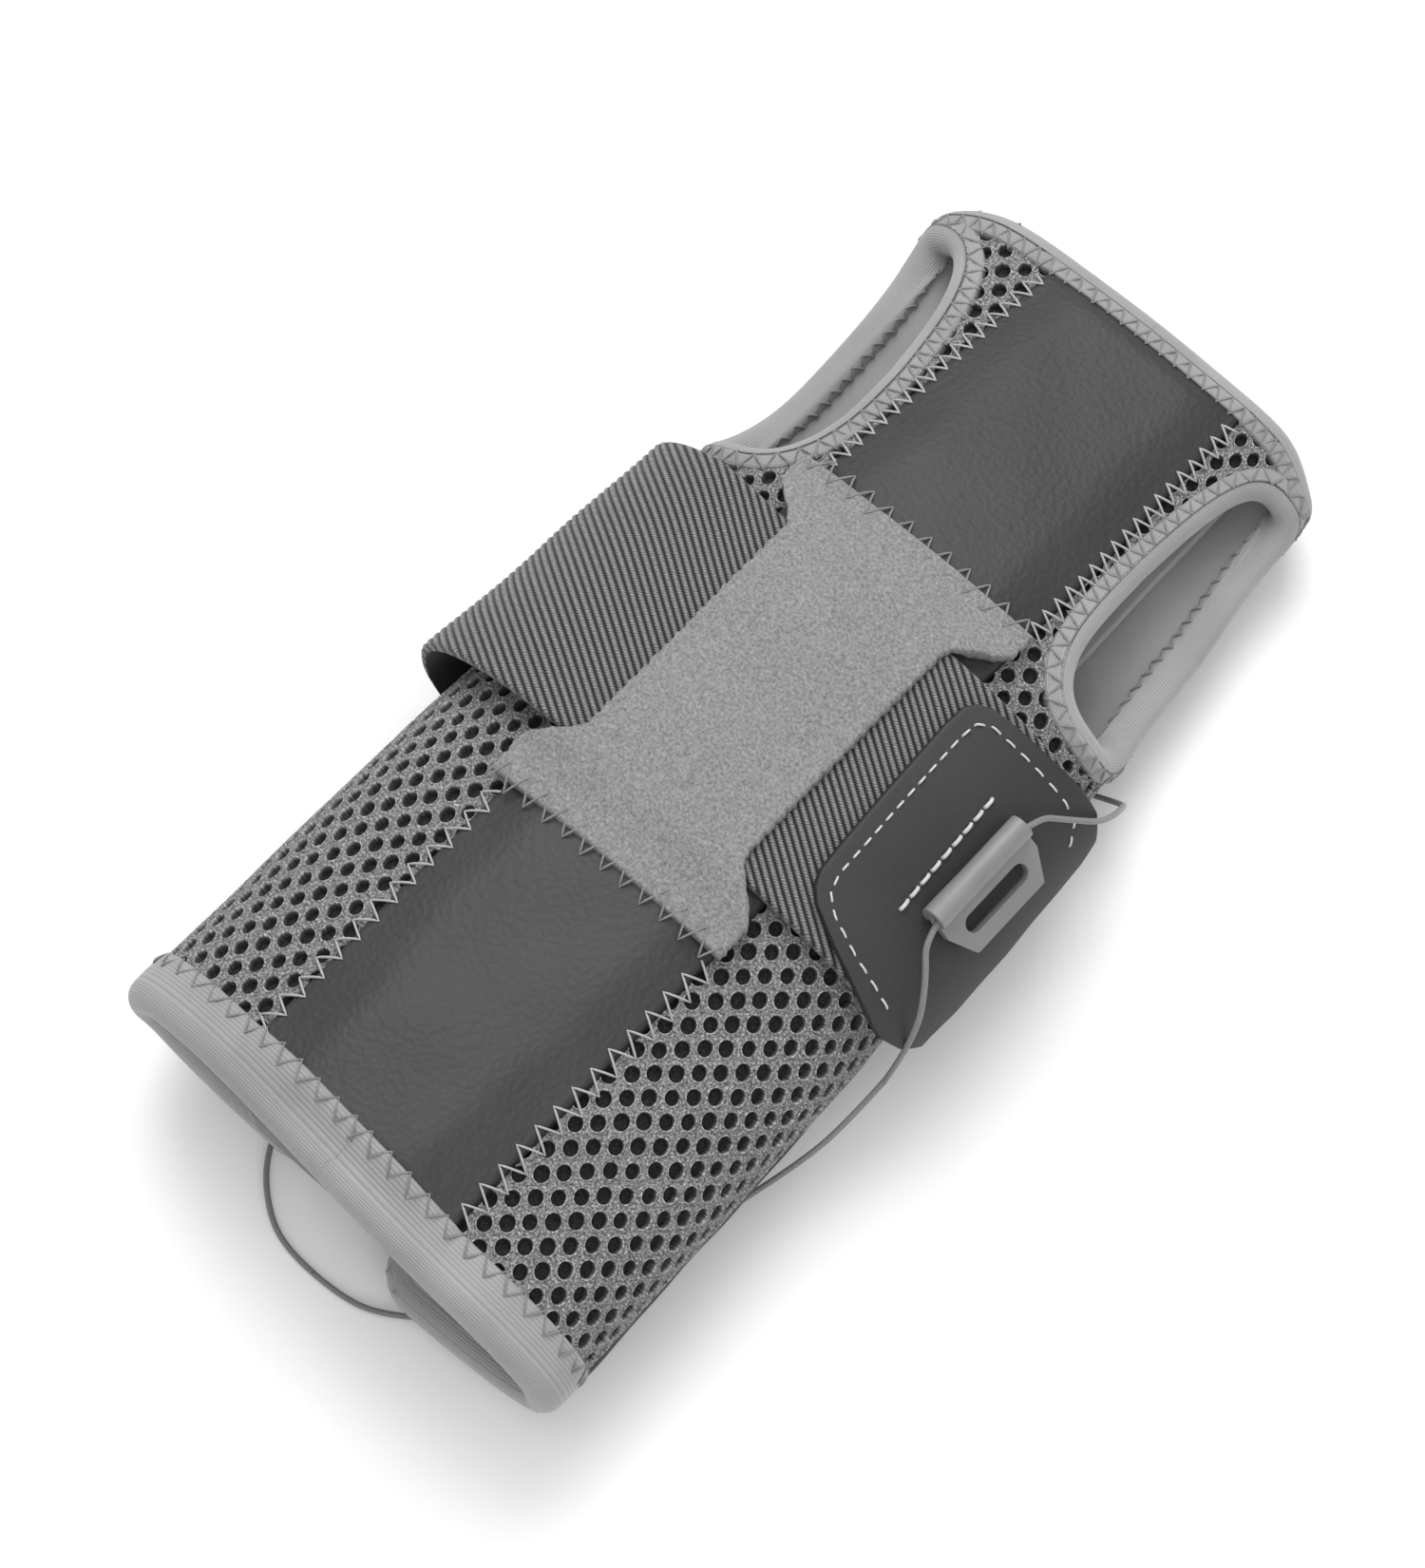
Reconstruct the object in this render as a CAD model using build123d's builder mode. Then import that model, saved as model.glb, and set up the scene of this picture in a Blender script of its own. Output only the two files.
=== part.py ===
from build123d import *
import os
from math import cos, pi, sin

# A lace-up wrist splint lying on its laced dorsal side, palm stay upwards.
# +Y runs from the forearm end to the hand end, +X to the side of the pull tab, +Z up.
# The origin is at the bottom centre of the splint.

# ---- driving dimensions, millimetres ----
HALF_LENGTH = 101.5
STATION_Y = [-104.0, -60.0, -20.0, 20.0, 45.0, 75.0, 104.0]
STATION_HALF_WIDTH = [47.2, 46.6, 45.2, 43.6, 42.6, 41.6, 40.6]
STATION_TOP = [39.8, 40.2, 39.8, 38.2, 35.0, 29.6, 25.4]
SHELL_BOTTOM = 4.6
FOLD_FOREARM = 21.5
FOLD_HAND = 14.5
ROUNDNESS = 2.3
SECTION_POINTS = 24

MESH = 3.2
LINING = 1.3
TAPE = 0.9
WALL = MESH + LINING
SPLIT_GAP = 0.4

FOREARM_TAPE_WIDTH = 10.0
HAND_TAPE_WIDTH = 5.5
THUMB_TAPE_WIDTH = 5.5
EDGE_INSIDE_TAPE = 1.2
HAND_CORNER = 12.0

THUMB_START = 39.0
THUMB_END = 90.0
THUMB_EDGE_X = 27.5
THUMB_FLOOR = 13.5
THUMB_CORNER = 9.0

COVER = 2.8
COVER_OUTLINE = [(-23.0, -91.2), (21.2, -91.2), (21.8, 40.0), (20.4, 92.0), (-19.0, 92.0), (-22.4, 40.0)]
POCKET = (0.1, 2.2)
STAY = (0.6, 1.7)
STAY_HALF_WIDTH = 8.5
STAY_HALF_LENGTH = 86.0
STAY_TIP = 9.0

STRAP_START = -21.5
STRAP_END = 29.5
STRAP = (3.0, 4.6)
STRAP_LOOP = 2.2
FELT = (4.8, 6.3)
FELT_FLANGE = (2.95, 4.4)
FELT_OUTLINE_START = -33.6
FELT_OUTLINE_END = 41.3
FELT_HALF_FLANGE = 23.4
FELT_HALF_WAIST = 15.6
FELT_CENTRE = -1.4
FELT_RISER = 2.0
FELT_CORNER = 5.0

TAB = (5.6, 7.0)
TAB_UNDER = (4.8, 5.5)
TAB_INNER_X = 25.0
TAB_START = -19.5
TAB_END = 29.0
TAB_LOW = 19.0
TAB_CORNER = 6.0
TAB_HINGE_X = 15.4
SLIT_X = 40.2
SLIT_WIDTH = 1.6
GUIDE_START = -5.8
GUIDE_END = 15.2

GUIDE_SLOPE = 44.0
GUIDE_SEAT_X = 45.3
GUIDE_SEAT_Z = 34.2
GUIDE_TUNNEL_RADIUS = 2.2
GUIDE_TUNNEL_RISE = 2.0
GUIDE_PLATE = 1.7
GUIDE_PLATE_ENDS = (0.5, -5.0)
GUIDE_PLATE_TAPER = 2.6
GUIDE_TUNNEL_OFFSET = 5.4
GUIDE_SLOT = (14.0, 3.4)
GUIDE_SLOT_OFFSET = -0.6

FLAP_EDGE_X = 10.0
FLAP_CORNER = 14.0
FLAP_TAPE_WIDTH = 5.5
LEFT_FLAP_SETBACK = 6.0
FACING = 1.4
FACING_EDGE_X = 15.8
FACING_END = 32.0
FACING_CORNER = 9.5
FACING_TOP_DROP = 4.5
TONGUE = (-8.2, -5.8)
TONGUE_HALF_WIDTH = 26.0
TONGUE_HALF_LENGTH = 96.0
TONGUE_CORNER = 8.0
TONGUE_SEAM = (-76.0, 22.0)
TONGUE_SEAM_RISE = (0.6, 5.0)
STRAP_TIP_X = 31.0
STRAP_FOLD_DROP = 3.8
HOOK = (1.5, 2.9)

CORD = 1.0
CORD_Z = 1.9
CHANNEL = 1.6
LACE_Y_LEFT = [22.0, -14.0, -50.0, -84.0]
LACE_Y_RIGHT = [4.0, -32.0, -67.0]
LACE_MOUTH_X = 13.0
LACE_FAR_X = 22.0
LACE_TURN = 4.0
LACE_BLOCK = (14.0, 26.5)
LACE_BLOCK_HALF = 7.0
LACE_JOIN = 0.2
FAR = 80.0

os.makedirs("parts", exist_ok=True)


def fold_height(y):
    return FOLD_FOREARM + (FOLD_HAND - FOLD_FOREARM) * (y + HALF_LENGTH) / (2 * HALF_LENGTH)


def power(value, exponent):
    return abs(value) ** exponent * (1 if value >= 0 else -1)


def section(y, half_width, top, grow, loop):
    """Points round the sleeve at one station: a superellipse, taller above the side folds."""
    points = []
    fold = fold_height(y)
    for step in range(SECTION_POINTS):
        angle = 2 * pi * step / SECTION_POINTS
        reach = half_width + grow + (loop if cos(angle) < 0 else 0)
        rise = top + grow - fold if sin(angle) >= 0 else fold - SHELL_BOTTOM + grow
        points.append((reach * power(cos(angle), 2 / ROUNDNESS), fold + rise * power(sin(angle), 2 / ROUNDNESS)))
    return points


def sleeve(grow, loop=0.0):
    """The whole sleeve as one solid, its surface moved outwards by grow."""
    with BuildPart() as whole:
        for y, half_width, top in zip(STATION_Y, STATION_HALF_WIDTH, STATION_TOP):
            with BuildSketch(Plane(origin=(0, y, 0), x_dir=(1, 0, 0), z_dir=(0, -1, 0))):
                with BuildLine():
                    Spline(*section(y, half_width, top, grow, loop), periodic=True)
                make_face()
        loft()
    return whole.part


def band(inner, outer, loop=0.0):
    """A layer of even thickness all round the sleeve."""
    with BuildPart() as layer:
        add(sleeve(outer, loop))
        add(sleeve(inner, loop), mode=Mode.SUBTRACT)
    return layer.part


def side_prism(points):
    """A prism across the whole width, from an outline in Y and Z."""
    with BuildPart() as prism:
        with BuildSketch(Plane.YZ):
            with BuildLine():
                Polyline(*points, close=True)
            make_face()
        extrude(amount=FAR, both=True)
    return prism.part


def above_fold(drop=0.0):
    y = HALF_LENGTH + 20
    low, high = fold_height(-y) - drop, fold_height(y) - drop
    return side_prism([(-y, low), (y, high), (y, FAR), (-y, FAR)])


def below_fold(drop=0.0):
    y = HALF_LENGTH + 20
    low, high = fold_height(-y) - drop, fold_height(y) - drop
    return side_prism([(-y, low), (y, high), (y, -FAR), (-y, -FAR)])


def plan_prism(points, corner=0.0):
    """An upright prism from an outline in X and Y, its corners rounded."""
    with BuildPart() as prism:
        with BuildSketch(Plane.XY.offset(-FAR)) as outline:
            with BuildLine():
                Polyline(*points, close=True)
            make_face()
            if corner:
                fillet(outline.vertices(), corner)
        extrude(amount=2 * FAR)
    return prism.part


def plan_box(x0, x1, y0, y1, corner=0.0):
    return plan_prism([(x0, y0), (x1, y0), (x1, y1), (x0, y1)], corner)


def thumb_cutter(side, grow=0.0):
    """The space of one thumb opening, grown by grow; side is -1 on the left and 1 on the right."""
    start, end = THUMB_START - grow, THUMB_END + grow
    with BuildPart() as cutter:
        with BuildSketch(Plane.YZ) as opening:
            with BuildLine():
                Polyline((start, THUMB_FLOOR - grow), (end, THUMB_FLOOR - grow), (end, FAR), (start, FAR), close=True)
            make_face()
            fillet(opening.vertices().group_by(Axis.Y)[0], THUMB_CORNER + grow)
        extrude(amount=side * FAR)
        inner = THUMB_EDGE_X - grow
        add(plan_box(side * inner, side * 2 * FAR, start, end, THUMB_CORNER + grow), mode=Mode.INTERSECT)
    return cutter.part


def outline_limits(edge, start=-HALF_LENGTH):
    """The plan of the sleeve, its hand corners rounded, moved inwards by edge."""
    end = HALF_LENGTH - edge
    corner = HAND_CORNER
    reach = STATION_HALF_WIDTH[-1] + 1.6 - edge
    with BuildPart() as prism:
        with BuildSketch(Plane.XY.offset(-FAR)) as outline:
            with BuildLine():
                Polyline((-FAR, start + edge), (FAR, start + edge), (FAR, 60), (reach, 60), (reach, end),
                         (-reach, end), (-reach, 60), (-FAR, 60), close=True)
            make_face()
            fillet(outline.vertices().group_by(Axis.Y)[-1], corner)
        extrude(amount=2 * FAR)
    return prism.part


def trimmed(layer, *limits):
    """The part of a layer that lies inside every limit."""
    with BuildPart() as piece:
        add(layer)
        for limit in limits:
            add(limit, mode=Mode.INTERSECT)
    return piece.part


def finish(name, maker):
    """Label one finished piece and write it."""
    maker.part.label = name
    export_step(maker.part, f"parts/{name}.step")


layer_mesh = band(-MESH, 0)
layer_lining = band(-WALL, -MESH)
layer_tape = band(-WALL - TAPE, TAPE)
layer_wall = band(-WALL, 0)
upper = above_fold(-SPLIT_GAP / 2)
lower = below_fold(SPLIT_GAP / 2)
inside_edges = outline_limits(EDGE_INSIDE_TAPE)
full_outline = outline_limits(0)
thumb_core = [thumb_cutter(side, EDGE_INSIDE_TAPE) for side in (-1, 1)]
thumb_space = [thumb_cutter(side) for side in (-1, 1)]
thumb_taped = [thumb_cutter(side, THUMB_TAPE_WIDTH) for side in (-1, 1)]

# ---- volar shell: the palm side, from fold to fold ----
for name, layer in (("volar_mesh", layer_mesh), ("volar_lining", layer_lining)):
    with BuildPart() as panel:
        add(layer)
        add(upper, mode=Mode.INTERSECT)
        add(inside_edges, mode=Mode.INTERSECT)
        add(thumb_core, mode=Mode.SUBTRACT)
    finish(name, panel)

with BuildPart() as volar_core:
    add(layer_wall)
    add(upper, mode=Mode.INTERSECT)
    add(inside_edges, mode=Mode.INTERSECT)
    add(thumb_core, mode=Mode.SUBTRACT)

tape_forearm_zone = plan_box(-FAR, FAR, -FAR * 2, -HALF_LENGTH + FOREARM_TAPE_WIDTH)
tape_hand_zone = plan_box(-FAR, FAR, HALF_LENGTH - HAND_TAPE_WIDTH, FAR * 2)
for name, zone in (("forearm_tape_volar", tape_forearm_zone), ("hand_tape_volar", tape_hand_zone)):
    with BuildPart() as tape:
        add(layer_tape)
        add(upper, mode=Mode.INTERSECT)
        add(full_outline, mode=Mode.INTERSECT)
        add(zone, mode=Mode.INTERSECT)
        add(volar_core.part, mode=Mode.SUBTRACT)
        add(thumb_taped, mode=Mode.SUBTRACT)
    finish(name, tape)

for name, cutter, taped in zip(("left", "right"), thumb_space, thumb_taped):
    with BuildPart() as tape:
        add(layer_tape)
        add(upper, mode=Mode.INTERSECT)
        add(taped, mode=Mode.INTERSECT)
        add(cutter, mode=Mode.SUBTRACT)
        add(volar_core.part, mode=Mode.SUBTRACT)
    finish(f"thumb_tape_{name}_volar", tape)

# ---- stay cover with its palm stay ----
pocket_side = STAY_HALF_WIDTH + 1.7
pocket_end = STAY_HALF_LENGTH + 2.4
tip_side = STAY_HALF_WIDTH + 1.4
tip_end = STAY_HALF_LENGTH + 2.0
pocket_plan = plan_box(-pocket_side, pocket_side, -pocket_end, pocket_end)
pocket = trimmed(band(*POCKET), upper, pocket_plan)
with BuildPart() as stay_cover:
    add(band(0, COVER))
    add(upper, mode=Mode.INTERSECT)
    add(plan_prism(COVER_OUTLINE), mode=Mode.INTERSECT)
    add(pocket, mode=Mode.SUBTRACT)
finish("stay_cover", stay_cover)

with BuildPart() as palm_stay:
    add(band(*STAY))
    add(upper, mode=Mode.INTERSECT)
    stay_plan = (-STAY_HALF_WIDTH, STAY_HALF_WIDTH, -STAY_HALF_LENGTH, STAY_HALF_LENGTH)
    add(plan_box(*stay_plan, STAY_HALF_WIDTH - 1), mode=Mode.INTERSECT)
finish("palm_stay", palm_stay)

tip_layer = trimmed(band(POCKET[0] + 0.1, POCKET[1] - 0.1), upper)
for name, start in (("stay_tip_forearm", -tip_end), ("stay_tip_hand", tip_end - STAY_TIP)):
    with BuildPart() as stay_tip:
        add(tip_layer)
        add(plan_box(-tip_side, tip_side, start, start + STAY_TIP, 3.0), mode=Mode.INTERSECT)
        add(palm_stay.part, mode=Mode.SUBTRACT)
    finish(name, stay_tip)

# ---- loop patch and the elastic strap that runs beneath it ----
waist_left = FELT_CENTRE - FELT_HALF_WAIST
waist_right = FELT_CENTRE + FELT_HALF_WAIST
flange_left = FELT_CENTRE - FELT_HALF_FLANGE
flange_right = FELT_CENTRE + FELT_HALF_FLANGE
tunnel_start = STRAP_START - 0.5
tunnel_end = STRAP_END + 0.5
with BuildPart() as loop_patch:
    add(band(FELT_FLANGE[0], FELT[1], STRAP_LOOP))
    add(upper, mode=Mode.INTERSECT)
    with BuildSketch(Plane.XY.offset(-FAR), mode=Mode.PRIVATE) as patch_plan:
        with BuildLine():
            Polyline((flange_left, FELT_OUTLINE_START), (flange_right, FELT_OUTLINE_START),
                     (flange_right, tunnel_start - FELT_CORNER), (waist_right, tunnel_start),
                     (waist_right, tunnel_end), (flange_right, tunnel_end + FELT_CORNER),
                     (flange_right, FELT_OUTLINE_END), (flange_left, FELT_OUTLINE_END),
                     (flange_left, tunnel_end + FELT_CORNER), (waist_left, tunnel_end),
                     (waist_left, tunnel_start), (flange_left, tunnel_start - FELT_CORNER), close=True)
        make_face()
    extrude(patch_plan.sketch, amount=2 * FAR, mode=Mode.INTERSECT)
    tunnel = trimmed(band(FELT_FLANGE[0] - 1, FELT[0], STRAP_LOOP),
                     plan_box(-FAR, FAR, tunnel_start, tunnel_end))
    add(tunnel, mode=Mode.SUBTRACT)
    for start, end in ((-FAR, tunnel_start - FELT_RISER), (tunnel_end + FELT_RISER, FAR)):
        over_flange = trimmed(band(FELT_FLANGE[1], FELT[1] + 1, STRAP_LOOP), plan_box(-FAR, FAR, start, end))
        add(over_flange, mode=Mode.SUBTRACT)
finish("loop_patch", loop_patch)

strap_layer = trimmed(band(*STRAP, STRAP_LOOP), plan_box(-FAR, FAR, STRAP_START, STRAP_END))
hinge_gap = SPLIT_GAP / 2
with BuildPart() as strap_palm:
    add(strap_layer)
    add(upper, mode=Mode.INTERSECT)
    add(plan_box(-FAR, TAB_HINGE_X - hinge_gap, -FAR, FAR), mode=Mode.INTERSECT)
finish("strap_palm", strap_palm)

# ---- pull tab with its lace guide ----
with BuildPart() as strap_tab_end:
    add(strap_layer)
    add(upper, mode=Mode.INTERSECT)
    add(plan_box(TAB_HINGE_X + hinge_gap, 46.0, -FAR, FAR), mode=Mode.INTERSECT)
    add(side_prism([(-FAR, 26), (FAR, 26), (FAR, FAR), (-FAR, FAR)]), mode=Mode.INTERSECT)
finish("strap_tab_end", strap_tab_end)

tab_plan = plan_box(TAB_INNER_X, FAR * 2, TAB_START, TAB_END, TAB_CORNER)
tab_side = side_prism([(TAB_START, 27), (TAB_START + 7, TAB_LOW), (TAB_END - 4, TAB_LOW),
                       (TAB_END, 25), (TAB_END, FAR), (TAB_START, FAR)])
slit = plan_box(SLIT_X, SLIT_X + SLIT_WIDTH, GUIDE_START - 0.6, GUIDE_END + 0.6)
with BuildPart() as pull_tab:
    add(band(*TAB))
    add(tab_plan, mode=Mode.INTERSECT)
    add(tab_side, mode=Mode.INTERSECT)
    add(slit, mode=Mode.SUBTRACT)
finish("pull_tab", pull_tab)

with BuildPart() as tab_hook:
    add(band(*TAB_UNDER))
    add(upper, mode=Mode.INTERSECT)
    add(plan_box(TAB_INNER_X + 2, SLIT_X - 6.5, TAB_START + 5, TAB_END - 4, 1.5), mode=Mode.INTERSECT)
finish("tab_hook", tab_hook)

# The guide's tunnel runs along Y on the tab; its slotted plate lies outboard of it and its
# sewing flange passes through the slit and lies under the tab.
slope = GUIDE_SLOPE * pi / 180
guide_middle = (GUIDE_START + GUIDE_END) / 2
guide_length = GUIDE_END - GUIDE_START
seat = Plane(origin=(GUIDE_SEAT_X, guide_middle, GUIDE_SEAT_Z), x_dir=(0, 1, 0), z_dir=(sin(slope), 0, cos(slope)))
tunnel_centre = seat.from_local_coords((0, GUIDE_TUNNEL_OFFSET, GUIDE_TUNNEL_RISE))
tunnel_end_plane = Plane(origin=(tunnel_centre.X, GUIDE_START, tunnel_centre.Z), z_dir=(0, 1, 0))
under_layer = trimmed(band(*TAB_UNDER), upper, plan_box(SLIT_X - 6, SLIT_X + 1.4, GUIDE_START, GUIDE_END))
neck_layer = trimmed(band(TAB_UNDER[0], TAB[1] + 1.2), upper,
                     plan_box(SLIT_X + 0.2, SLIT_X + 1.4, GUIDE_START, GUIDE_END))
with BuildPart() as tab_lace_guide:
    add(under_layer)
    add(neck_layer)
    with BuildSketch(tunnel_end_plane):
        Circle(GUIDE_TUNNEL_RADIUS)
    extrude(amount=guide_length)
    with BuildSketch(seat):
        with BuildLine():
            Polyline((-guide_length / 2, GUIDE_TUNNEL_OFFSET), (guide_length / 2, GUIDE_TUNNEL_OFFSET),
                     (guide_length / 2, GUIDE_PLATE_ENDS[0]),
                     (guide_length / 2 - GUIDE_PLATE_TAPER, GUIDE_PLATE_ENDS[1]),
                     (GUIDE_PLATE_TAPER - guide_length / 2, GUIDE_PLATE_ENDS[1]),
                     (-guide_length / 2, GUIDE_PLATE_ENDS[0]), close=True)
        make_face()
        with Locations((0, GUIDE_SLOT_OFFSET)):
            SlotOverall(*GUIDE_SLOT, mode=Mode.SUBTRACT)
    extrude(amount=GUIDE_PLATE)
    with BuildSketch(tunnel_end_plane):
        Circle(CHANNEL / 2)
    extrude(amount=guide_length, mode=Mode.SUBTRACT)
finish("tab_lace_guide", tab_lace_guide)


# ---- the lace ----
def corner_radii(points):
    """Bends as large as the two runs beside each corner allow."""
    radii = []
    for before, corner, after in zip(points, points[1:], points[2:]):
        first = Vector(*corner) - Vector(*before)
        second = Vector(*after) - Vector(*corner)
        half_turn = first.get_angle(second) / 2 * pi / 180
        radii.append(0.45 * min(first.length, second.length) * cos(half_turn) / sin(half_turn))
    return radii


def cord_tube(points, diameter=CORD):
    """A round tube along straight runs joined by tangent arcs."""
    radii = corner_radii(points)
    with BuildPart() as tube:
        with BuildLine() as route:
            FilletPolyline(*points, radius=radii)
        with BuildSketch(Plane(origin=route.line @ 0, z_dir=route.line % 0)):
            Circle(diameter / 2)
        sweep()
    length = route.wire().length
    ideal = length * pi * diameter ** 2 / 4
    print(f"cord {diameter} length {length:.1f} tightest {min(radii):.1f} "
          f"volume ratio {tube.part.volume / ideal:.4f}")
    return tube.part


def guide_route(side, y, before, after):
    """In from the middle, round the guide's bend and back to the middle."""
    x0, x1 = side * LACE_MOUTH_X, side * LACE_FAR_X
    return [before, (x0, y + LACE_TURN, CORD_Z), (x1, y + LACE_TURN, CORD_Z),
            (x1, y - LACE_TURN, CORD_Z), (x0, y - LACE_TURN, CORD_Z), after]


tunnel_x, tunnel_z = tunnel_centre.X, tunnel_centre.Z
TAB_ROUTE = [(50.6, -25.8, 20.6), (51.4, -19.6, 29.4), (48.0, -13.4, 35.0), (tunnel_x, -8.0, tunnel_z),
             (tunnel_x, 17.2, tunnel_z), (47.4, 22.4, 33.4), (50.8, 28.0, 26.6), (50.2, 33.6, 19.0)]
UPPER_LEAD = [(49.4, 35.4, 15.9), (47.6, 37.4, 12.0), (39.6, 36.4, 6.4), (29.0, 33.6, 3.2),
              (17.0, 31.0, 2.2), (LACE_JOIN, 28.4, CORD_Z)]
FOREARM_BEND = [(-22.0, -88.0, CORD_Z), (-18.6, -97.0, 1.7), (-10.4, -103.8, 1.4), (-LACE_JOIN, -106.6, 1.3)]
LOWER_LEAD = [(LACE_JOIN, -106.6, 1.3), (11.0, -104.6, 1.5), (21.0, -97.4, 2.2), (30.0, -86.0, 3.6),
              (38.0, -71.0, 6.2), (44.0, -55.6, 9.4), (48.6, -41.0, 13.4), (49.9, -33.0, 16.6)]


with BuildPart() as lace_at_tab:
    add(cord_tube(TAB_ROUTE))
finish("lace_at_tab", lace_at_tab)

with BuildPart() as lace_upper_lead:
    add(cord_tube(UPPER_LEAD))
finish("lace_upper_lead", lace_upper_lead)

with BuildPart() as lace_lower_lead:
    add(cord_tube(LOWER_LEAD))
finish("lace_lower_lead", lace_lower_lead)

# The lace zigzags down from guide to guide, left and right in turn, and each stretch belongs
# to the flap that its guide is sewn to.
stops = sorted([(y, -1) for y in LACE_Y_LEFT] + [(y, 1) for y in LACE_Y_RIGHT], reverse=True)
routes = []
for number, (y, side) in enumerate(stops):
    middle = side * LACE_JOIN
    if number == 0:
        before = (middle, UPPER_LEAD[-1][1] - 0.2, CORD_Z)
    else:
        before = (middle, (stops[number - 1][0] + y) / 2, CORD_Z)
    if number == len(stops) - 1:
        route = guide_route(side, y, before, before)[:3] + FOREARM_BEND
    else:
        route = guide_route(side, y, before, (middle, (stops[number + 1][0] + y) / 2, CORD_Z))
    routes.append((side, y, route))

facing_surface = sleeve(FACING)
for number, (side, y, route) in enumerate(routes):
    hand = "left" if side < 0 else "right"
    name = f"{hand}_{number // 2 + 1}"
    with BuildPart() as lace_stretch:
        add(cord_tube(route))
    finish(f"lace_{name}", lace_stretch)
    inner, outer = sorted((side * LACE_BLOCK[0], side * LACE_BLOCK[1]))
    with BuildPart() as lace_guide:
        with BuildSketch(Plane.XY) as block:
            with Locations(((inner + outer) / 2, y)):
                Rectangle(outer - inner, 2 * LACE_BLOCK_HALF)
            fillet(block.vertices().group_by(Axis.X)[0 if side < 0 else -1], LACE_BLOCK_HALF - 1)
        extrude(amount=10)
        chamfer(lace_guide.faces().sort_by(Axis.Z)[0].edges(), 0.6)
        add(facing_surface, mode=Mode.SUBTRACT)
        add(cord_tube(route, CHANNEL), mode=Mode.SUBTRACT)
    finish(f"lace_guide_{name}", lace_guide)


# ---- dorsal flaps, laced together under the splint ----
def flap_outline(side, edge, forearm_edge, hand_edge):
    """The plan of one flap: its laced edge and two rounded corners, moved inwards."""
    start = -HALF_LENGTH + forearm_edge + (LEFT_FLAP_SETBACK if side < 0 else 0)
    end = HALF_LENGTH - hand_edge
    with BuildPart() as prism:
        with BuildSketch(Plane.XY.offset(-FAR)) as outline:
            with BuildLine():
                Polyline((side * (FLAP_EDGE_X + edge), start), (side * FAR, start), (side * FAR, end),
                         (side * (FLAP_EDGE_X + edge), end), close=True)
            make_face()
            laced = outline.vertices().group_by(Axis.X)[-1 if side < 0 else 0]
            fillet(laced, FLAP_CORNER - edge)
        extrude(amount=2 * FAR)
    return prism.part


facing_layer = trimmed(band(0, FACING), below_fold(FACING_TOP_DROP))
for side, hand, core_cut, space, taped in zip((-1, 1), ("left", "right"), thumb_core, thumb_space, thumb_taped):
    inset = flap_outline(side, EDGE_INSIDE_TAPE, EDGE_INSIDE_TAPE, EDGE_INSIDE_TAPE)
    for name, layer in (("mesh", layer_mesh), ("lining", layer_lining)):
        with BuildPart() as panel:
            add(layer)
            add(lower, mode=Mode.INTERSECT)
            add(inside_edges, mode=Mode.INTERSECT)
            add(inset, mode=Mode.INTERSECT)
            add(core_cut, mode=Mode.SUBTRACT)
        finish(f"flap_{name}_{hand}", panel)

    with BuildPart() as flap_core:
        add(layer_wall)
        add(lower, mode=Mode.INTERSECT)
        add(inside_edges, mode=Mode.INTERSECT)
        add(inset, mode=Mode.INTERSECT)
        add(core_cut, mode=Mode.SUBTRACT)

    with BuildPart() as tape:
        add(layer_tape)
        add(lower, mode=Mode.INTERSECT)
        add(full_outline, mode=Mode.INTERSECT)
        add(flap_outline(side, 0, 0, 0), mode=Mode.INTERSECT)
        add(flap_outline(side, FLAP_TAPE_WIDTH, FOREARM_TAPE_WIDTH, HAND_TAPE_WIDTH), mode=Mode.SUBTRACT)
        add(flap_core.part, mode=Mode.SUBTRACT)
        add(taped, mode=Mode.SUBTRACT)
    finish(f"flap_tape_{hand}", tape)

    with BuildPart() as tape:
        add(layer_tape)
        add(lower, mode=Mode.INTERSECT)
        add(taped, mode=Mode.INTERSECT)
        add(space, mode=Mode.SUBTRACT)
        add(flap_core.part, mode=Mode.SUBTRACT)
    finish(f"thumb_tape_{hand}_flap", tape)

    start = -HALF_LENGTH + FOREARM_TAPE_WIDTH + 0.3 + (LEFT_FLAP_SETBACK if side < 0 else 0)
    with BuildPart() as facing:
        add(facing_layer)
        with BuildSketch(Plane.XY.offset(-FAR), mode=Mode.PRIVATE) as facing_plan:
            with BuildLine():
                Polyline((side * FACING_EDGE_X, start), (side * FAR, start), (side * FAR, FACING_END),
                         (side * FACING_EDGE_X, FACING_END), close=True)
            make_face()
            fillet(facing_plan.vertices().group_by(Axis.X)[-1 if side < 0 else 0], FACING_CORNER)
        extrude(facing_plan.sketch, amount=2 * FAR, mode=Mode.INTERSECT)
    finish(f"facing_{hand}", facing)

# ---- tongue, sewn to the shell's lining just above the left side fold ----
tongue_outline = [(-TONGUE_HALF_WIDTH, -TONGUE_HALF_LENGTH), (TONGUE_HALF_WIDTH, -TONGUE_HALF_LENGTH),
                  (TONGUE_HALF_WIDTH, TONGUE_HALF_LENGTH), (-TONGUE_HALF_WIDTH, TONGUE_HALF_LENGTH),
                  (-TONGUE_HALF_WIDTH, TONGUE_SEAM[1]), (-FAR, TONGUE_SEAM[1]),
                  (-FAR, TONGUE_SEAM[0]), (-TONGUE_HALF_WIDTH, TONGUE_SEAM[0])]
seam_length = plan_box(-FAR, 0, *TONGUE_SEAM)
seam = trimmed(band(TONGUE[0], -WALL), above_fold(-TONGUE_SEAM_RISE[0]), below_fold(-TONGUE_SEAM_RISE[1]), seam_length)
across_fold = trimmed(band(*TONGUE), above_fold(SPLIT_GAP), below_fold(-2 * TONGUE_SEAM_RISE[0]), seam_length)
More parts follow.
